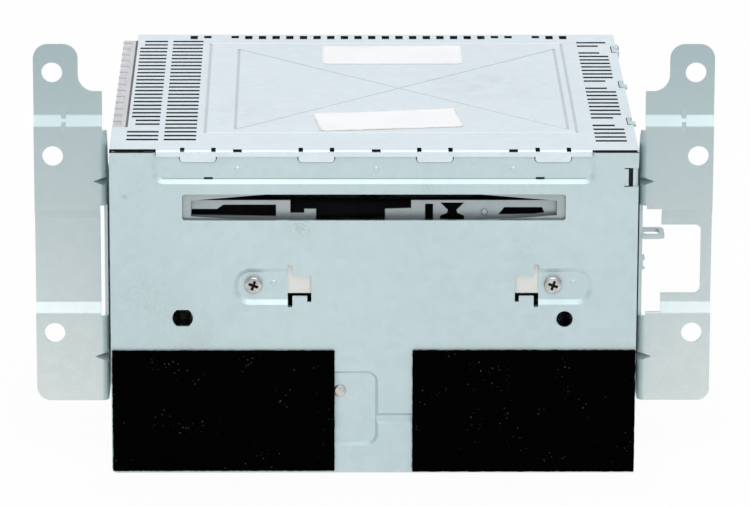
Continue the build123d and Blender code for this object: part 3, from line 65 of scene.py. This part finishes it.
bpy.ops.object.camera_add(location=CAMERA_PLACE)
camera = bpy.context.object
camera.name = "photo_camera"
turn = Matrix.Identity(4)
for degrees, axis in CAMERA_TURNS:
    turn = turn @ Matrix.Rotation(math.radians(degrees), 4, axis)
camera.rotation_euler = turn.to_euler()
camera.data.sensor_width = 36
camera.data.lens = 261.3
camera.data.clip_end = 20
bpy.context.scene.camera = camera
print("camera at", [round(v, 3) for v in camera.location])

# %% [markdown]
# ## Helpers for nodes
# The world, the floor and all the finishes are built from nodes. These few functions make a
# node, set its inputs and link it, so that the cells below say only what matters.

# %% Short names for common nodes


def add_node(tree, kind, **values):
    """A new node with some of its inputs set; an underscore stands for a space."""
    made = tree.nodes.new(kind)
    for name, value in values.items():
        made.inputs[name.replace("_", " ")].default_value = value
    return made


def combine(tree, operation, first, second):
    """A Math node of two sockets, or of a socket and a number."""
    made = tree.nodes.new("ShaderNodeMath")
    made.operation = operation
    for index, value in enumerate((first, second)):
        if isinstance(value, float):
            made.inputs[index].default_value = value
        else:
            tree.links.new(value, made.inputs[index])
    return made.outputs[0]


def map_range(tree, value, low, high, to_low, to_high):
    """Inputs 1 to 4 of the node are From Min, From Max, To Min and To Max."""
    made = tree.nodes.new("ShaderNodeMapRange")
    for index, number in enumerate((low, high, to_low, to_high), start=1):
        made.inputs[index].default_value = number
    tree.links.new(value, made.inputs["Value"])
    return made.outputs["Result"]


def split_by_ray(tree, plain, shown, other_ray, share):
    """Gives camera rays and one other kind of ray a share of `shown`, the rest `plain`."""
    rays = tree.nodes.new("ShaderNodeLightPath").outputs
    special = combine(tree, "MAXIMUM", rays["Is Camera Ray"], rays[other_ray])
    blend = tree.nodes.new("ShaderNodeMixShader")
    tree.links.new(combine(tree, "MULTIPLY", special, share), blend.inputs[0])
    tree.links.new(plain.outputs[0], blend.inputs[1])
    tree.links.new(shown.outputs[0], blend.inputs[2])
    return blend.outputs[0]


# %% [markdown]
# ## The light
# The sheet metal in the photograph is lit softly from above, and the bends in it show as a
# bright line below and a dark line above. A pale world gives the even part. It is brighter
# overhead than at the sides, so that a slope that faces up is lighter than the sheet round it.
# Two large area lamps add the rest: one overhead and one high in front.

# %% World and lamps
SKY_FROM, SKY_TO = -0.35, 0.5         # heights on the sky's unit sphere
SKY_SIDE, SKY_TOP = 0.36, 0.74        # its strength at those heights

world = bpy.data.worlds.new("white_studio")
bpy.context.scene.world = world
world.use_nodes = True
tree = world.node_tree
tree.nodes.clear()
out = tree.nodes.new("ShaderNodeOutputWorld")
seen = add_node(tree, "ShaderNodeBackground", Color=(1, 1, 1, 1), Strength=1.0)
lit = add_node(tree, "ShaderNodeBackground", Color=(0.97, 0.985, 1.0, 1))
way = tree.nodes.new("ShaderNodeTexCoord")
height = tree.nodes.new("ShaderNodeSeparateXYZ")
tree.links.new(way.outputs["Generated"], height.inputs[0])
strength = map_range(tree, height.outputs["Z"], SKY_FROM, SKY_TO, SKY_SIDE, SKY_TOP)
tree.links.new(strength, lit.inputs["Strength"])
tree.links.new(split_by_ray(tree, lit, seen, "Is Transmission Ray", 1.0),
               out.inputs["Surface"])


def soft_lamp(name, place, aim, size, watts):
    bpy.ops.object.light_add(type="AREA", location=place)
    lamp = bpy.context.object
    lamp.name = name
    lamp.data.shape = "RECTANGLE"
    lamp.data.size, lamp.data.size_y = size
    lamp.data.energy = watts
    away = Vector(aim) - Vector(place)
    lamp.rotation_euler = away.to_track_quat("-Z", "Y").to_euler()


# place, aim and size in metres, then the power
soft_lamp("overhead_lamp", (0, 0.25, 1.5), (0, 0, 0.1), (1.6, 1.2), 5.0)
soft_lamp("front_lamp", (0.15, -1.7, 1.5), (0, 0, 0.05), (1.5, 0.8), 12.0)
bpy.context.scene.view_settings.view_transform = "Standard"

# %% [markdown]
# ## The floor
# The background of the photograph is plain white. The floor is a white sheet that curves up
# behind the object. Most of what the camera sees of it is its own white, and the rest is lit,
# so that a faint shadow stays under the case.

# %% A floor that curves up into a backdrop
FLOOR_SIZE = 8
CURVE_UP = ((0, 1.2, 0.5), (0, 0.5, 1.2), (0, 0, 3.0))    # steps beyond the far edge
OWN_WHITE = 0.93          # the share of its look that needs no light

bpy.ops.object.select_all(action="DESELECT")
bpy.ops.mesh.primitive_plane_add(size=FLOOR_SIZE, location=(0, 0, -0.0002))
floor = bpy.context.object
floor.name = "studio_floor"
bpy.ops.object.mode_set(mode="EDIT")
bpy.ops.mesh.select_all(action="DESELECT")
shape = bmesh.from_edit_mesh(floor.data)
for edge in shape.edges:
    if all(v.co.y > 0.49 * FLOOR_SIZE for v in edge.verts):
        edge.select = True
bmesh.update_edit_mesh(floor.data)
for step in CURVE_UP:
    bpy.ops.mesh.extrude_region_move(TRANSFORM_OT_translate={"value": step})
bpy.ops.object.mode_set(mode="OBJECT")
bpy.ops.object.shade_smooth()
white = bpy.data.materials.new("white_floor")
white.use_nodes = True
tree = white.node_tree
tree.nodes.clear()
out = tree.nodes.new("ShaderNodeOutputMaterial")
own = add_node(tree, "ShaderNodeEmission", Strength=1.0)
lit = add_node(tree, "ShaderNodeBsdfDiffuse", Color=(0.93, 0.93, 0.93, 1))
tree.links.new(split_by_ray(tree, lit, own, "Is Glossy Ray", OWN_WHITE),
               out.inputs["Surface"])
floor.data.materials.append(white)
print("floor sheet:", len(floor.data.polygons), "faces")

# %% [markdown]
# ## What a finish is
# Every finish below is one Principled shader with noise behind its colour, its roughness and
# its bump. The pattern is read from Object coordinates. Every part sits at the origin, so
# these are metres in the whole object, and a pattern runs on from one part to the next.
#
# A finish is built like a coat of paint: `colour` gives the first layer, and `over` lays
# another colour over the layers so far.

# %% The class of the finishes
COLOUR_A, COLOUR_B, COLOUR_OUT = 6, 7, 2      # a Mix node's sockets for colours
NOISE_LOW, NOISE_HIGH = 0.3, 0.7              # most of a noise lies between these


class Finish:
    """One material, and the few nodes that the finishes here are made of."""

    def __init__(self, name, colour, metal=0.0, rough=0.5):
        self.material = bpy.data.materials.new(name)
        self.material.use_nodes = True
        self.material.diffuse_color = (*colour, 1)
        self.tree = self.material.node_tree
        self.shader = self.tree.nodes["Principled BSDF"]
        self.fixed(Base_Color=(*colour, 1), Metallic=metal, Roughness=rough)
        self.place = self.tree.nodes.new("ShaderNodeTexCoord").outputs["Object"]
        self.top = None           # the colour of the layers so far

    def fixed(self, **values):
        """Sets inputs of the shader itself; an underscore stands for a space."""
        for name, value in values.items():
            self.shader.inputs[name.replace("_", " ")].default_value = value

    def node(self, kind, **values):
        return add_node(self.tree, kind, **values)

    def link(self, source, target):
        self.tree.links.new(source, target)

    def stretched(self, scale):
        """Object coordinates; a pattern gets finer along an axis with a large scale."""
        mapping = self.node("ShaderNodeMapping", Scale=scale)
        self.link(self.place, mapping.inputs["Vector"])
        return mapping.outputs["Vector"]

    def noise(self, scale, detail=3.0, rough=0.5, where=None):
        """A soft pattern; the scale says how many patches there are to a metre."""
        made = self.node("ShaderNodeTexNoise", Scale=scale, Detail=detail, Roughness=rough)
        self.link(where or self.place, made.inputs["Vector"])
        return made.outputs["Fac"]

    def cells(self, scale):
        """A grey value that differs from cell to cell, as the crystals of zinc do."""
        made = self.node("ShaderNodeTexVoronoi", Scale=scale)
        self.link(self.place, made.inputs["Vector"])
        grey = self.node("ShaderNodeSeparateColor")
        self.link(made.outputs["Color"], grey.inputs["Color"])
        return grey.outputs["Red"]

    def specks(self, scale, core, edge):
        """1 in a small dot in each cell, and 0 between the dots."""
        made = self.node("ShaderNodeTexVoronoi", Scale=scale, Randomness=1.0)
        self.link(self.place, made.inputs["Vector"])
        return self.remap(made.outputs["Distance"], core, edge, 1.0, 0.0)

    def remap(self, value, low, high, to_low=0.0, to_high=1.0):
        return map_range(self.tree, value, low, high, to_low, to_high)

    def axes(self):
        """The three coordinates of the point, as sockets named X, Y and Z."""
        split = self.node("ShaderNodeSeparateXYZ")
        self.link(self.place, split.inputs[0])
        return split.outputs

    def near(self, centre, radius, soft=0.5):
        """1 around a point of the object, and 0 beyond the radius."""
        from_it = self.node("ShaderNodeVectorMath")
        from_it.operation = "DISTANCE"
        self.link(self.place, from_it.inputs[0])
        from_it.inputs[1].default_value = centre
        return self.remap(from_it.outputs["Value"], radius * soft, radius, 1.0, 0.0)

    def inside(self, low, high):
        """1 between two corners of a box, given in metres, and 0 outside it."""
        at, found = self.axes(), 1.0
        for axis, start, end in zip("XYZ", low, high):
            within = self.node("ShaderNodeMath")
            within.operation = "COMPARE"
            self.link(at[axis], within.inputs[0])
            within.inputs[1].default_value = (start + end) / 2
            within.inputs[2].default_value = (end - start) / 2
            found = self.times(within.outputs[0], found)
        return found

    def times(self, first, second):
        return combine(self.tree, "MULTIPLY", first, second)

    def mixed(self, amount, first, second):
        """Two colours, or a socket and a colour, mixed by a value from 0 to 1."""
        made = self.node("ShaderNodeMix")
        made.data_type = "RGBA"
        self.link(amount, made.inputs["Factor"])
        for index, colour in ((COLOUR_A, first), (COLOUR_B, second)):
            if isinstance(colour, tuple):
                made.inputs[index].default_value = (*colour, 1)
            else:
                self.link(colour, made.inputs[index])
        return made.outputs[COLOUR_OUT]

    def colour(self, socket):
        self.top = socket
        self.link(socket, self.shader.inputs["Base Color"])
        return self

    def over(self, amount, tint):
        """Lays a colour over the layers so far, where the amount is above 0."""
        return self.colour(self.mixed(amount, self.top, tint))

    def roughness(self, value, low, high):
        spread = self.remap(value, NOISE_LOW, NOISE_HIGH, low, high)
        self.link(spread, self.shader.inputs["Roughness"])
        return self

    def bump(self, height, depth, strength=1.0):
        """Adds to the bump so far; the depth is in metres."""
        made = self.node("ShaderNodeBump", Strength=strength, Distance=depth)
        self.link(height, made.inputs["Height"])
        last = self.shader.inputs["Normal"].links
        if last:
            self.link(last[0].from_socket, made.inputs["Normal"])
        self.link(made.outputs["Normal"], self.shader.inputs["Normal"])
        return self


def dress(finish, *names):
    """Puts a finish on CAD parts, which keep their meshes."""
    for name in names:
        slots = parts[name].data.materials
        slots.clear()
        slots.append(finish.material)


# %% [markdown]
# ## Layers at set places
# Some tones depend on where they are: painted shade darkens the vent walls, slits and gaps and
# the brackets towards their ears, and old smudges lie here and there. Three functions lay such
# a tone over a finish. All places are in metres, and the depth y counts from the front sheet.

# %% Paint, shade and stain
ANY_Y = (-1, 1)
SMUDGE = (0.20, 0.19, 0.17)


def block(x, y, z):
    """A box as its low and its high corner, from a pair of numbers for each axis."""
    return tuple(zip(x, (FACE + y[0], FACE + y[1]), z))


def painted(finish, blocks, tint, amount=1.0):
    """Another colour inside each block."""
    for low, high in blocks:
        finish.over(finish.times(finish.inside(low, high), amount), tint)


def shaded(finish, low, high, tint):
    """Another colour that comes in from the height low up to the height high."""
    finish.over(finish.remap(finish.axes()["Z"], low, high), tint)


def stained(finish, spots):
    """Brown-grey smudges: each has x, y, z, a radius, a strength and a fineness."""
    for x, y, z, radius, strength, fineness in spots:
        speckle = finish.remap(finish.noise(fineness, detail=6), 0.45, 0.62)
        patch = finish.times(finish.near((x, FACE + y, z), radius, 0.15), speckle)
        finish.over(finish.times(patch, strength), SMUDGE)


# %% [markdown]
# ## Galvanised steel
# The case is bent from zinc-coated sheet. The coat is pale blue grey and dull, with a faint
# grain from the rolls, faint crystals, and stains from years behind a dashboard. A mostly
# metallic shader with high roughness gives the dull shine. Three patterns give the cloudy
# patches, the crystals and the grain.

# %% Zinc sheet for the case
ZINC = (0.604, 0.726, 0.745)
ZINC_DARK = (0.567, 0.688, 0.709)
# painted shade: a near-black for the shade in slits, gaps, vent walls and recesses
SHADE_DARK = (0.018, 0.020, 0.022)
BAND_FOOT_SHADE = (0.22, 0.25, 0.25)
COVER_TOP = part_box("top_cover")[1].z
SHEET_TOP = front_high.z
BAND_FOOT = COVER_TOP - 0.0101      # where the floor of the pressed band ends


def zinc_sheet(name, pale, dark, rough=(0.42, 0.52), grain=(1, 1, 14)):
    finish = Finish(name, pale, metal=0.72, rough=rough[0])
    cloud = finish.noise(9, detail=4)
    fine = finish.noise(1500, detail=2, where=finish.stretched(grain))
    finish.colour(finish.mixed(finish.remap(cloud, 0.35, 0.65), pale, dark))
    finish.over(finish.remap(finish.cells(330), 0, 1, 0.0, 0.16),
                tuple(0.72 * v for v in dark))
    finish.over(finish.remap(fine, NOISE_LOW, NOISE_HIGH, 0.0, 0.2),
                tuple(min(1.0, 1.25 * v) for v in pale))
    finish.roughness(cloud, *rough)
    finish.bump(fine, 0.00002, 0.35).bump(finish.noise(160, detail=2), 0.00006, 0.3)
    return finish


front_zinc = zinc_sheet("zinc_front", ZINC, ZINC_DARK)
stained(front_zinc, [(-0.0800, 0, 0.0640, 0.014, 0.10, 1400),
                     (-0.0700, 0, 0.0560, 0.012, 0.10, 1600),
                     (-0.0600, 0, 0.0480, 0.010, 0.13, 1900),
                     (-0.0840, 0, 0.0975, 0.0012, 0.35, 300),
                     (-0.0640, 0, 0.0430, 0.005, 0.25, 1900),
                     (-0.0250, 0, 0.0870, 0.006, 0.32, 1900),
                     (0.0180, 0, 0.1010, 0.003, 0.30, 1900),
                     (0.0500, 0, 0.0790, 0.006, 0.16, 1800),
                     (-0.0785, 0, 0.1000, 0.0010, 0.30, 400)])
# painted shade: a dark line along the foot of the pressed band, where its step is in shade
band_foot_shade_line = block((-0.0715, 0.0715), (0.0006, 0.0014),
                  (BAND_FOOT - 0.00015, BAND_FOOT + 0.00025))
# painted shade: the top edge of the front sheet is near-black, for the dark slit under the
# cover
top_edge_shade = block((-0.1, 0.1), (-0.001, 0.013), (SHEET_TOP - 0.00005, SHEET_TOP + 0.001))
painted(front_zinc, [band_foot_shade_line], BAND_FOOT_SHADE, 0.6)
painted(front_zinc, [top_edge_shade], SHADE_DARK)
dress(front_zinc, "front_panel")
case_zinc = zinc_sheet("zinc_case", ZINC, ZINC_DARK)
dress(case_zinc, "chassis_shell", "rear_panel")
print("front and case are dressed")

# %% [markdown]
# ## The cover and the brackets
# The cover's zinc is painted paler than the case's, as light on a face that looks up. Its grain
# runs from side to side. The walls of its vents and notches, the slits at its front corners and
# the gap along the heat sink are painted dark as shade, and the pressed cross and frame are
# darkened with painted shade. The brackets are a little warmer at the foot and are painted
# darker towards the ears as shade.

# %% Zinc sheet for the cover and the brackets
# painted light: the cover's zinc is paler than the case's, for the light on a face that looks
# up
COVER_ZINC_LIT, COVER_DARK_LIT = (0.772, 0.868, 0.930), (0.748, 0.845, 0.905)
BRACKET_ZINC, BRACKET_DARK = (0.745, 0.805, 0.790), (0.676, 0.742, 0.730)
# painted shade: the bracket colour darkens to this one from 20 mm up to the ears
EAR_SHADE = (0.425, 0.535, 0.560)
PRESSED_LINE_SHADE = (0.42, 0.475, 0.495)
UNDER = COVER_TOP - 0.0012          # just below the cover's sheet
SKIN = COVER_TOP - 0.00010          # just inside its upper face
sink_low, sink_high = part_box("heat_sink")

cover_zinc = zinc_sheet("zinc_cover", COVER_ZINC_LIT, COVER_DARK_LIT, rough=(0.36, 0.44),
                        grain=(14, 1, 1))
stained(cover_zinc, [(-0.045, 0.05, 0.1137, 0.02, 0.12, 200),
                     (0.040, 0.09, 0.1137, 0.03, 0.10, 120)])
# painted shade: vent and notch walls, the front corner slits and the heat sink gap are
# near-black
wall = (UNDER, SKIN)
left_vents = block((-0.0843, -0.0595), (0.010, 0.1625), wall)
right_vents = block((0.0745, 0.0884), (0.008, 0.1540), wall)
rear_vents = block((-0.0670, 0.0725), (0.1555, 0.1625), wall)
front_notches = block((-0.0733, 0.0733), (0.0006, 0.0042), (UNDER - 0.001, SKIN))
left_corner = block((-0.0892, -0.0733), (0.0015, 0.0025), wall)
right_corner = block((0.0733, 0.0885), (0.0003, 0.0012), wall)
sink_gap = block((-0.0843, -0.0837), (sink_low.y - FACE, sink_high.y - FACE),
                 (UNDER, COVER_TOP + 0.001))
# painted shade: the pressed cross and frame are darkened to tone down their bright slopes
pressed_lines = block((-0.0590, 0.0710), (0.020, 0.1530), (UNDER, SKIN + 0.00006))
painted(cover_zinc, [left_vents, right_vents, rear_vents, front_notches, left_corner,
                     right_corner], SHADE_DARK)
painted(cover_zinc, [sink_gap], SHADE_DARK, 0.9)
painted(cover_zinc, [pressed_lines], PRESSED_LINE_SHADE, 0.55)
dress(cover_zinc, "top_cover")

bracket_zinc = zinc_sheet("zinc_bracket", BRACKET_ZINC, BRACKET_DARK, grain=(1, 14, 1))
# painted shade: the brackets get darker from their foot up to their ears
shaded(bracket_zinc, 0.02, 0.150, EAR_SHADE)
dress(bracket_zinc, "left_bracket", "right_bracket", "harness_clip")
print("cover and brackets are dressed")

# %% [markdown]
# ## Inside sheet, aluminium and nickel
# The sheet parts of the mechanism are a darker grey than the case: painted shade, as they stand
# in the dark of the case. The heat sink is drawn aluminium with fine lines along the way it was
# drawn, and a faint lavender tint; the tops of its fins are painted darker as shade. The screws
# have bright nickel, and the cross recess of each front screw is painted black as shade.

# %% The other metals
# painted shade: the mechanism's sheet is a darker zinc, as it stands in the dark of the case
inner_zinc_shaded = zinc_sheet("zinc_inner_shaded", (0.45, 0.505, 0.515), (0.38, 0.435, 0.445),
                        rough=(0.34, 0.44))
# painted light: the guide plate behind the windows beside the front screws is painted pale
windows = block((-0.050, 0.060), (0, 0.012), (0.052, 0.078))
WINDOW_LIGHT = (0.78, 0.79, 0.765)
painted(inner_zinc_shaded, [windows], WINDOW_LIGHT)
dress(inner_zinc_shaded, "slot_guide_plate", "shutter_plate", "mech_frame", "mech_top_plate",
      "play_arm", "clamp_arm", "mech_posts")

drawn = Finish("drawn_aluminium", (0.80, 0.80, 0.82), metal=0.45, rough=0.4)
lines = drawn.noise(900, detail=3, where=drawn.stretched((1, 1, 0.02)))
drawn.colour(drawn.mixed(drawn.remap(lines, NOISE_LOW, NOISE_HIGH),
                         (0.92, 0.92, 0.935), (0.82, 0.82, 0.84)))
drawn.roughness(drawn.noise(60), 0.34, 0.5).bump(lines, 0.00004, 0.5)
fin_tops = (COVER_TOP - 0.0005, COVER_TOP + 0.001)
# painted shade: the tops of the fins are darker than the pale sides and channels
FIN_TOP_SHADE = (0.50, 0.495, 0.515)
painted(drawn, [block((-0.1, 0), ANY_Y, fin_tops)], FIN_TOP_SHADE, 0.6)
# painted shade: a near-black strip at the sink's edge, along the gap beside the cover
painted(drawn, [block((-0.0845, -0.083), ANY_Y, fin_tops)], SHADE_DARK, 0.95)
dress(drawn, "heat_sink")

HEAD_R = 0.00305                    # a front screw's head
RECESS_R = 0.00175                  # the reach of its cross recess
nickel = Finish("nickel_plate", (0.62, 0.62, 0.59), metal=1.0, rough=0.22)
nickel.colour(nickel.mixed(nickel.remap(nickel.noise(500), 0.35, 0.7), (0.64, 0.64, 0.61),
                           (0.42, 0.42, 0.40)))
heads_low, heads_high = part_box("front_screws")
head_z = (heads_low.z + heads_high.z) / 2
# painted shade: the cross recess of each front screw is near-black
for head_x in (heads_low.x + HEAD_R, heads_high.x - HEAD_R):
    recess = block((head_x - RECESS_R, head_x + RECESS_R), (-0.0008, 0.0006),
                   (head_z - RECESS_R, head_z + RECESS_R))
    painted(nickel, [recess], SHADE_DARK)
nickel.roughness(nickel.noise(800), 0.2, 0.36).bump(nickel.noise(1600), 0.00002, 0.4)
dress(nickel, "front_screws", "locating_pin", "case_screws", "mech_screws", "board_screws",
      "roller_shaft", "guide_rods", "lift_screw_left", "lift_screw_right",
      "lift_screw_rear", "aerial_socket")

motor_can = Finish("motor_can", (0.60, 0.60, 0.59), metal=1.0, rough=0.32)
motor_can.roughness(motor_can.noise(300), 0.26, 0.42)
motor_can.bump(motor_can.noise(900, where=motor_can.stretched((1, 1, 12))), 0.00002, 0.4)
dress(motor_can, "lift_motor", "loading_motor", "swing_motor", "feed_motor",
      "spindle_motor")
print("metals are dressed")

# %% [markdown]
# ## Plastics and rubber
# The gears are white acetal, which is slightly waxy. The trays and guides are black or grey
# mouldings with a fine spark-eroded grain. The roller and the dampers are matt black rubber.

# %% Moulded plastics


def moulding(name, colour, rough, grain=0.00003, waxy=0.0):
    finish = Finish(name, colour, rough=rough)
    darker = tuple(0.78 * v for v in colour)
    finish.colour(finish.mixed(finish.remap(finish.noise(90), 0.35, 0.7), colour, darker))
    finish.roughness(finish.noise(700), rough - 0.06, rough + 0.08)
    finish.bump(finish.noise(2600, detail=2), grain, 0.6)
    finish.fixed(Specular_IOR_Level=0.5 if waxy else 0.12, Subsurface_Weight=waxy,
                 Subsurface_Radius=(0.002, 0.002, 0.0015))
    return finish


black_moulding = moulding("black_moulding", (0.006, 0.006, 0.0065), 0.55)
grey_moulding = moulding("grey_moulding", (0.10, 0.105, 0.11), 0.5)
acetal = moulding("white_acetal", (0.72, 0.71, 0.66), 0.36, waxy=0.15)
rubber = moulding("black_rubber", (0.022, 0.021, 0.02), 0.78, grain=0.00006)

# %% [markdown]
# ## Circuit board, brass and the pickup's lens
# The board is green lacquer over copper: thin raised tracks show as a slightly lighter green.

# %% Board, brass and lens
board = Finish("board_lacquer", (0.012, 0.09, 0.045), rough=0.32)
track = board.node("ShaderNodeTexBrick", Scale=160)
board.link(board.place, track.inputs["Vector"])
board.colour(board.mixed(track.outputs["Fac"], (0.010, 0.075, 0.038), (0.02, 0.13, 0.06)))
board.bump(track.outputs["Fac"], 0.00003, 0.6)
brass = Finish("brass", (0.72, 0.52, 0.22), metal=1.0, rough=0.28)
brass.roughness(brass.noise(700), 0.22, 0.4)
lens = Finish("lens_glass", (0.10, 0.14, 0.30), rough=0.06)
lens.fixed(Coat_Weight=1.0)
lens.roughness(lens.noise(400), 0.04, 0.1)

# %% [markdown]
# ## The parts that are left
# CAD names a material for every part. The sheet metal, the heat sink, the screws and the motors
# are dressed by their own names above. The other parts get the finish that belongs to the
# material CAD gives them.

# %% Finishes by the material from CAD
BY_MATERIAL = {"black_plastic": black_moulding, "grey_plastic": grey_moulding,
               "white_plastic": acetal, "rubber": rubber, "board": board, "brass": brass,
               "lens": lens}
changed = 0
for part in parts.values():
    for index, slot in enumerate(part.data.materials):
        kind = slot.name.split(".")[0] if slot else ""
        if kind in BY_MATERIAL:
            part.data.materials[index] = BY_MATERIAL[kind].material
            changed += 1
print("parts dressed by their material:", changed)

# %% [markdown]
# ## The felt pads
# Two pieces of black needle felt are stuck to the foot of the front sheet, so that the unit
# doesn't rattle in the dash. Felt isn't woven: it is a flat mat of loose fibres, cut with a
# knife, with a soft edge, a dull nap and caught specks of lint. Each pad is a grid that is
# given the pad's thickness and then a small uneven surface.

# %% Black felt
felt = Finish("black_felt", (0.0015, 0.0015, 0.0015), rough=1.0)
fibre = felt.noise(2400, detail=4, rough=0.7, where=felt.stretched((1, 1, 1.6)))
tuft = felt.noise(420, detail=3)
felt.colour(felt.mixed(felt.remap(fibre, 0.4, 0.75), (0.0003, 0.0003, 0.0003),
                       (0.0022, 0.0021, 0.0021)))
LINT = (0.10, 0.10, 0.095)
clusters = felt.remap(felt.noise(90, detail=4), 0.52, 0.64)
felt.over(felt.times(felt.specks(620, 0.07, 0.16), clusters), LINT)
felt.fixed(Sheen_Weight=0.003, Sheen_Roughness=0.6, Specular_IOR_Level=0.0)
felt.bump(tuft, 0.0003, 0.5).bump(fibre, 0.0002, 0.8)

PAD_GRID = (88, 48)       # squares across and up
KNIFE_WANDER = 0.00008    # how far the cut edge of a pad strays
PAD_GAP = 0.0001          # room for the nap before and behind the pad
SOFT_EDGE = 0.0003        # width of the rounded edge
LUMP_SIZE = 0.004
LUMP_DEPTH = 0.00012
LUMP_LEVEL = 0.6          # the grey of the texture that moves nothing


def felt_pad(name, node, seed):
    low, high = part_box(node)
    wide, tall, thick = high.x - low.x, high.z - low.z, high.y - low.y
    middle = ((low.x + high.x) / 2, high.y - PAD_GAP, (low.z + high.z) / 2)
    bpy.ops.object.select_all(action="DESELECT")
    bpy.ops.mesh.primitive_grid_add(x_subdivisions=PAD_GRID[0], y_subdivisions=PAD_GRID[1],
                                    size=1, location=middle,
                                    rotation=(math.radians(90), 0, 0))
    pad = bpy.context.object
    pad.name = name
    pad.scale = (wide, tall, 1)
    bpy.ops.object.transform_apply(location=True, rotation=True, scale=True)
    bpy.ops.object.mode_set(mode="EDIT")
    bpy.ops.mesh.select_mode(type="VERT")
    bpy.ops.mesh.select_all(action="DESELECT")
    bpy.ops.mesh.select_non_manifold()
    bpy.ops.transform.vertex_random(offset=KNIFE_WANDER, uniform=1.0, seed=seed)
    bpy.ops.object.mode_set(mode="OBJECT")
    body = pad.modifiers.new("thickness", "SOLIDIFY")
    body.thickness = thick - 2 * PAD_GAP
    body.offset = 1.0
    bpy.ops.object.modifier_apply(modifier="thickness")
    edge = pad.modifiers.new("soft_edge", "BEVEL")
    edge.width = SOFT_EDGE
    edge.segments = 2
    edge.limit_method = "ANGLE"
    edge.angle_limit = math.radians(50)
    bpy.ops.object.modifier_apply(modifier="soft_edge")
    lumps = bpy.data.textures.new(name + "_lumps", "CLOUDS")
    lumps.noise_scale = LUMP_SIZE
    nap = pad.modifiers.new("nap", "DISPLACE")
    nap.texture = lumps
    nap.strength = LUMP_DEPTH
    nap.mid_level = LUMP_LEVEL
    bpy.ops.object.modifier_apply(modifier="nap")
    bpy.ops.object.shade_smooth()
    pad.data.materials.append(felt.material)
    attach(pad, "case")
    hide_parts(node)
    print(name, round(wide * 1000, 1), "x", round(tall * 1000, 1), "mm")


felt_pad("felt_left", "felt_pad_left", 3)
felt_pad("felt_right", "felt_pad_right", 8)

# %% [markdown]
# ## The labels
# Two plain paper labels lie on the cover. Each is a thin plane with rounded corners that is
# given the thickness of paper; one corner of each has lifted a little. The rim has browned,
# and an attribute of the mesh holds how brown each point is.

# %% Label paper
PAPER_EDGE = 0.0022       # radius of a label's corners
RIM = 0.0008              # width of its browned edge
PAPER = 0.00012           # thickness
PAPER_GRID = (100, 50)    # squares across and up
OFF_STEEL = 0.00004       # gap between the paper and the cover
LIFT_FROM = 1.55          # s + t, where the lifted corner starts

label_paper = Finish("label_paper", (0.90, 0.90, 0.90), rough=0.6)
stain = label_paper.noise(55, detail=4)
label_paper.colour(label_paper.mixed(label_paper.remap(stain, 0.45, 0.7),
                                     (0.96, 0.965, 0.97), (0.92, 0.925, 0.92)))
rim = label_paper.node("ShaderNodeAttribute")
rim.attribute_name = "rim"
frayed = label_paper.remap(label_paper.noise(260, detail=3), 0.3, 0.6)
label_paper.over(label_paper.times(rim.outputs["Fac"], frayed), (0.62, 0.52, 0.40))
label_paper.bump(label_paper.noise(1800), 0.00002, 0.4)


def label(name, corners, lift, aged):
    """corners are x and y in metres, anticlockwise from the near left one."""
    bpy.ops.object.select_all(action="DESELECT")
    bpy.ops.mesh.primitive_grid_add(x_subdivisions=PAPER_GRID[0],
                                    y_subdivisions=PAPER_GRID[1], size=1)
    sheet = bpy.context.object
    sheet.name = name
    a, b, c, d = (Vector((x, FACE + y, COVER_TOP)) for x, y in corners)
    wide, tall = (b - a).length, (d - a).length
    browned = sheet.data.attributes.new("rim", "FLOAT", "POINT")
    for v in sheet.data.vertices:
        s, t = v.co.x + 0.5, v.co.y + 0.5
        from_x, from_y = min(s, 1 - s) * wide, min(t, 1 - t) * tall
        browned.data[v.index].value = aged * max(0.0, 1 - min(from_x, from_y) / RIM)
        gap = Vector((PAPER_EDGE - from_x, PAPER_EDGE - from_y))
        if gap.x > 0 and gap.y > 0 and gap.length > PAPER_EDGE:
            gap = gap.normalized() * PAPER_EDGE
            in_x, in_y = (PAPER_EDGE - gap.x) / wide, (PAPER_EDGE - gap.y) / tall
            s, t = in_x if s < 0.5 else 1 - in_x, in_y if t < 0.5 else 1 - in_y
        v.co = (a * (1 - s) + b * s) * (1 - t) + (d * (1 - s) + c * s) * t
        raised = max(0.0, s + t - LIFT_FROM) / (2 - LIFT_FROM)
        v.co.z += OFF_STEEL + lift * raised * raised
    body = sheet.modifiers.new("paper", "SOLIDIFY")
    body.thickness = PAPER
    body.offset = 1.0
    bpy.ops.object.modifier_apply(modifier="paper")
    bpy.ops.object.shade_smooth_by_angle(angle=math.radians(40))
    sheet.data.materials.append(label_paper.material)
    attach(sheet, "case")
    print(name, "at height", round(COVER_TOP * 1000, 1), "mm")


label("rear_label", [(-0.01705, 0.1197), (0.03294, 0.1197), (0.03294, 0.14625),
                     (-0.01705, 0.14625)], 0.0002, 0.25)
label("front_label", [(-0.0179, 0.0254), (0.0311, 0.03125), (0.0284, 0.0557),
                      (-0.0208, 0.0495)], 0.0004, 0.9)
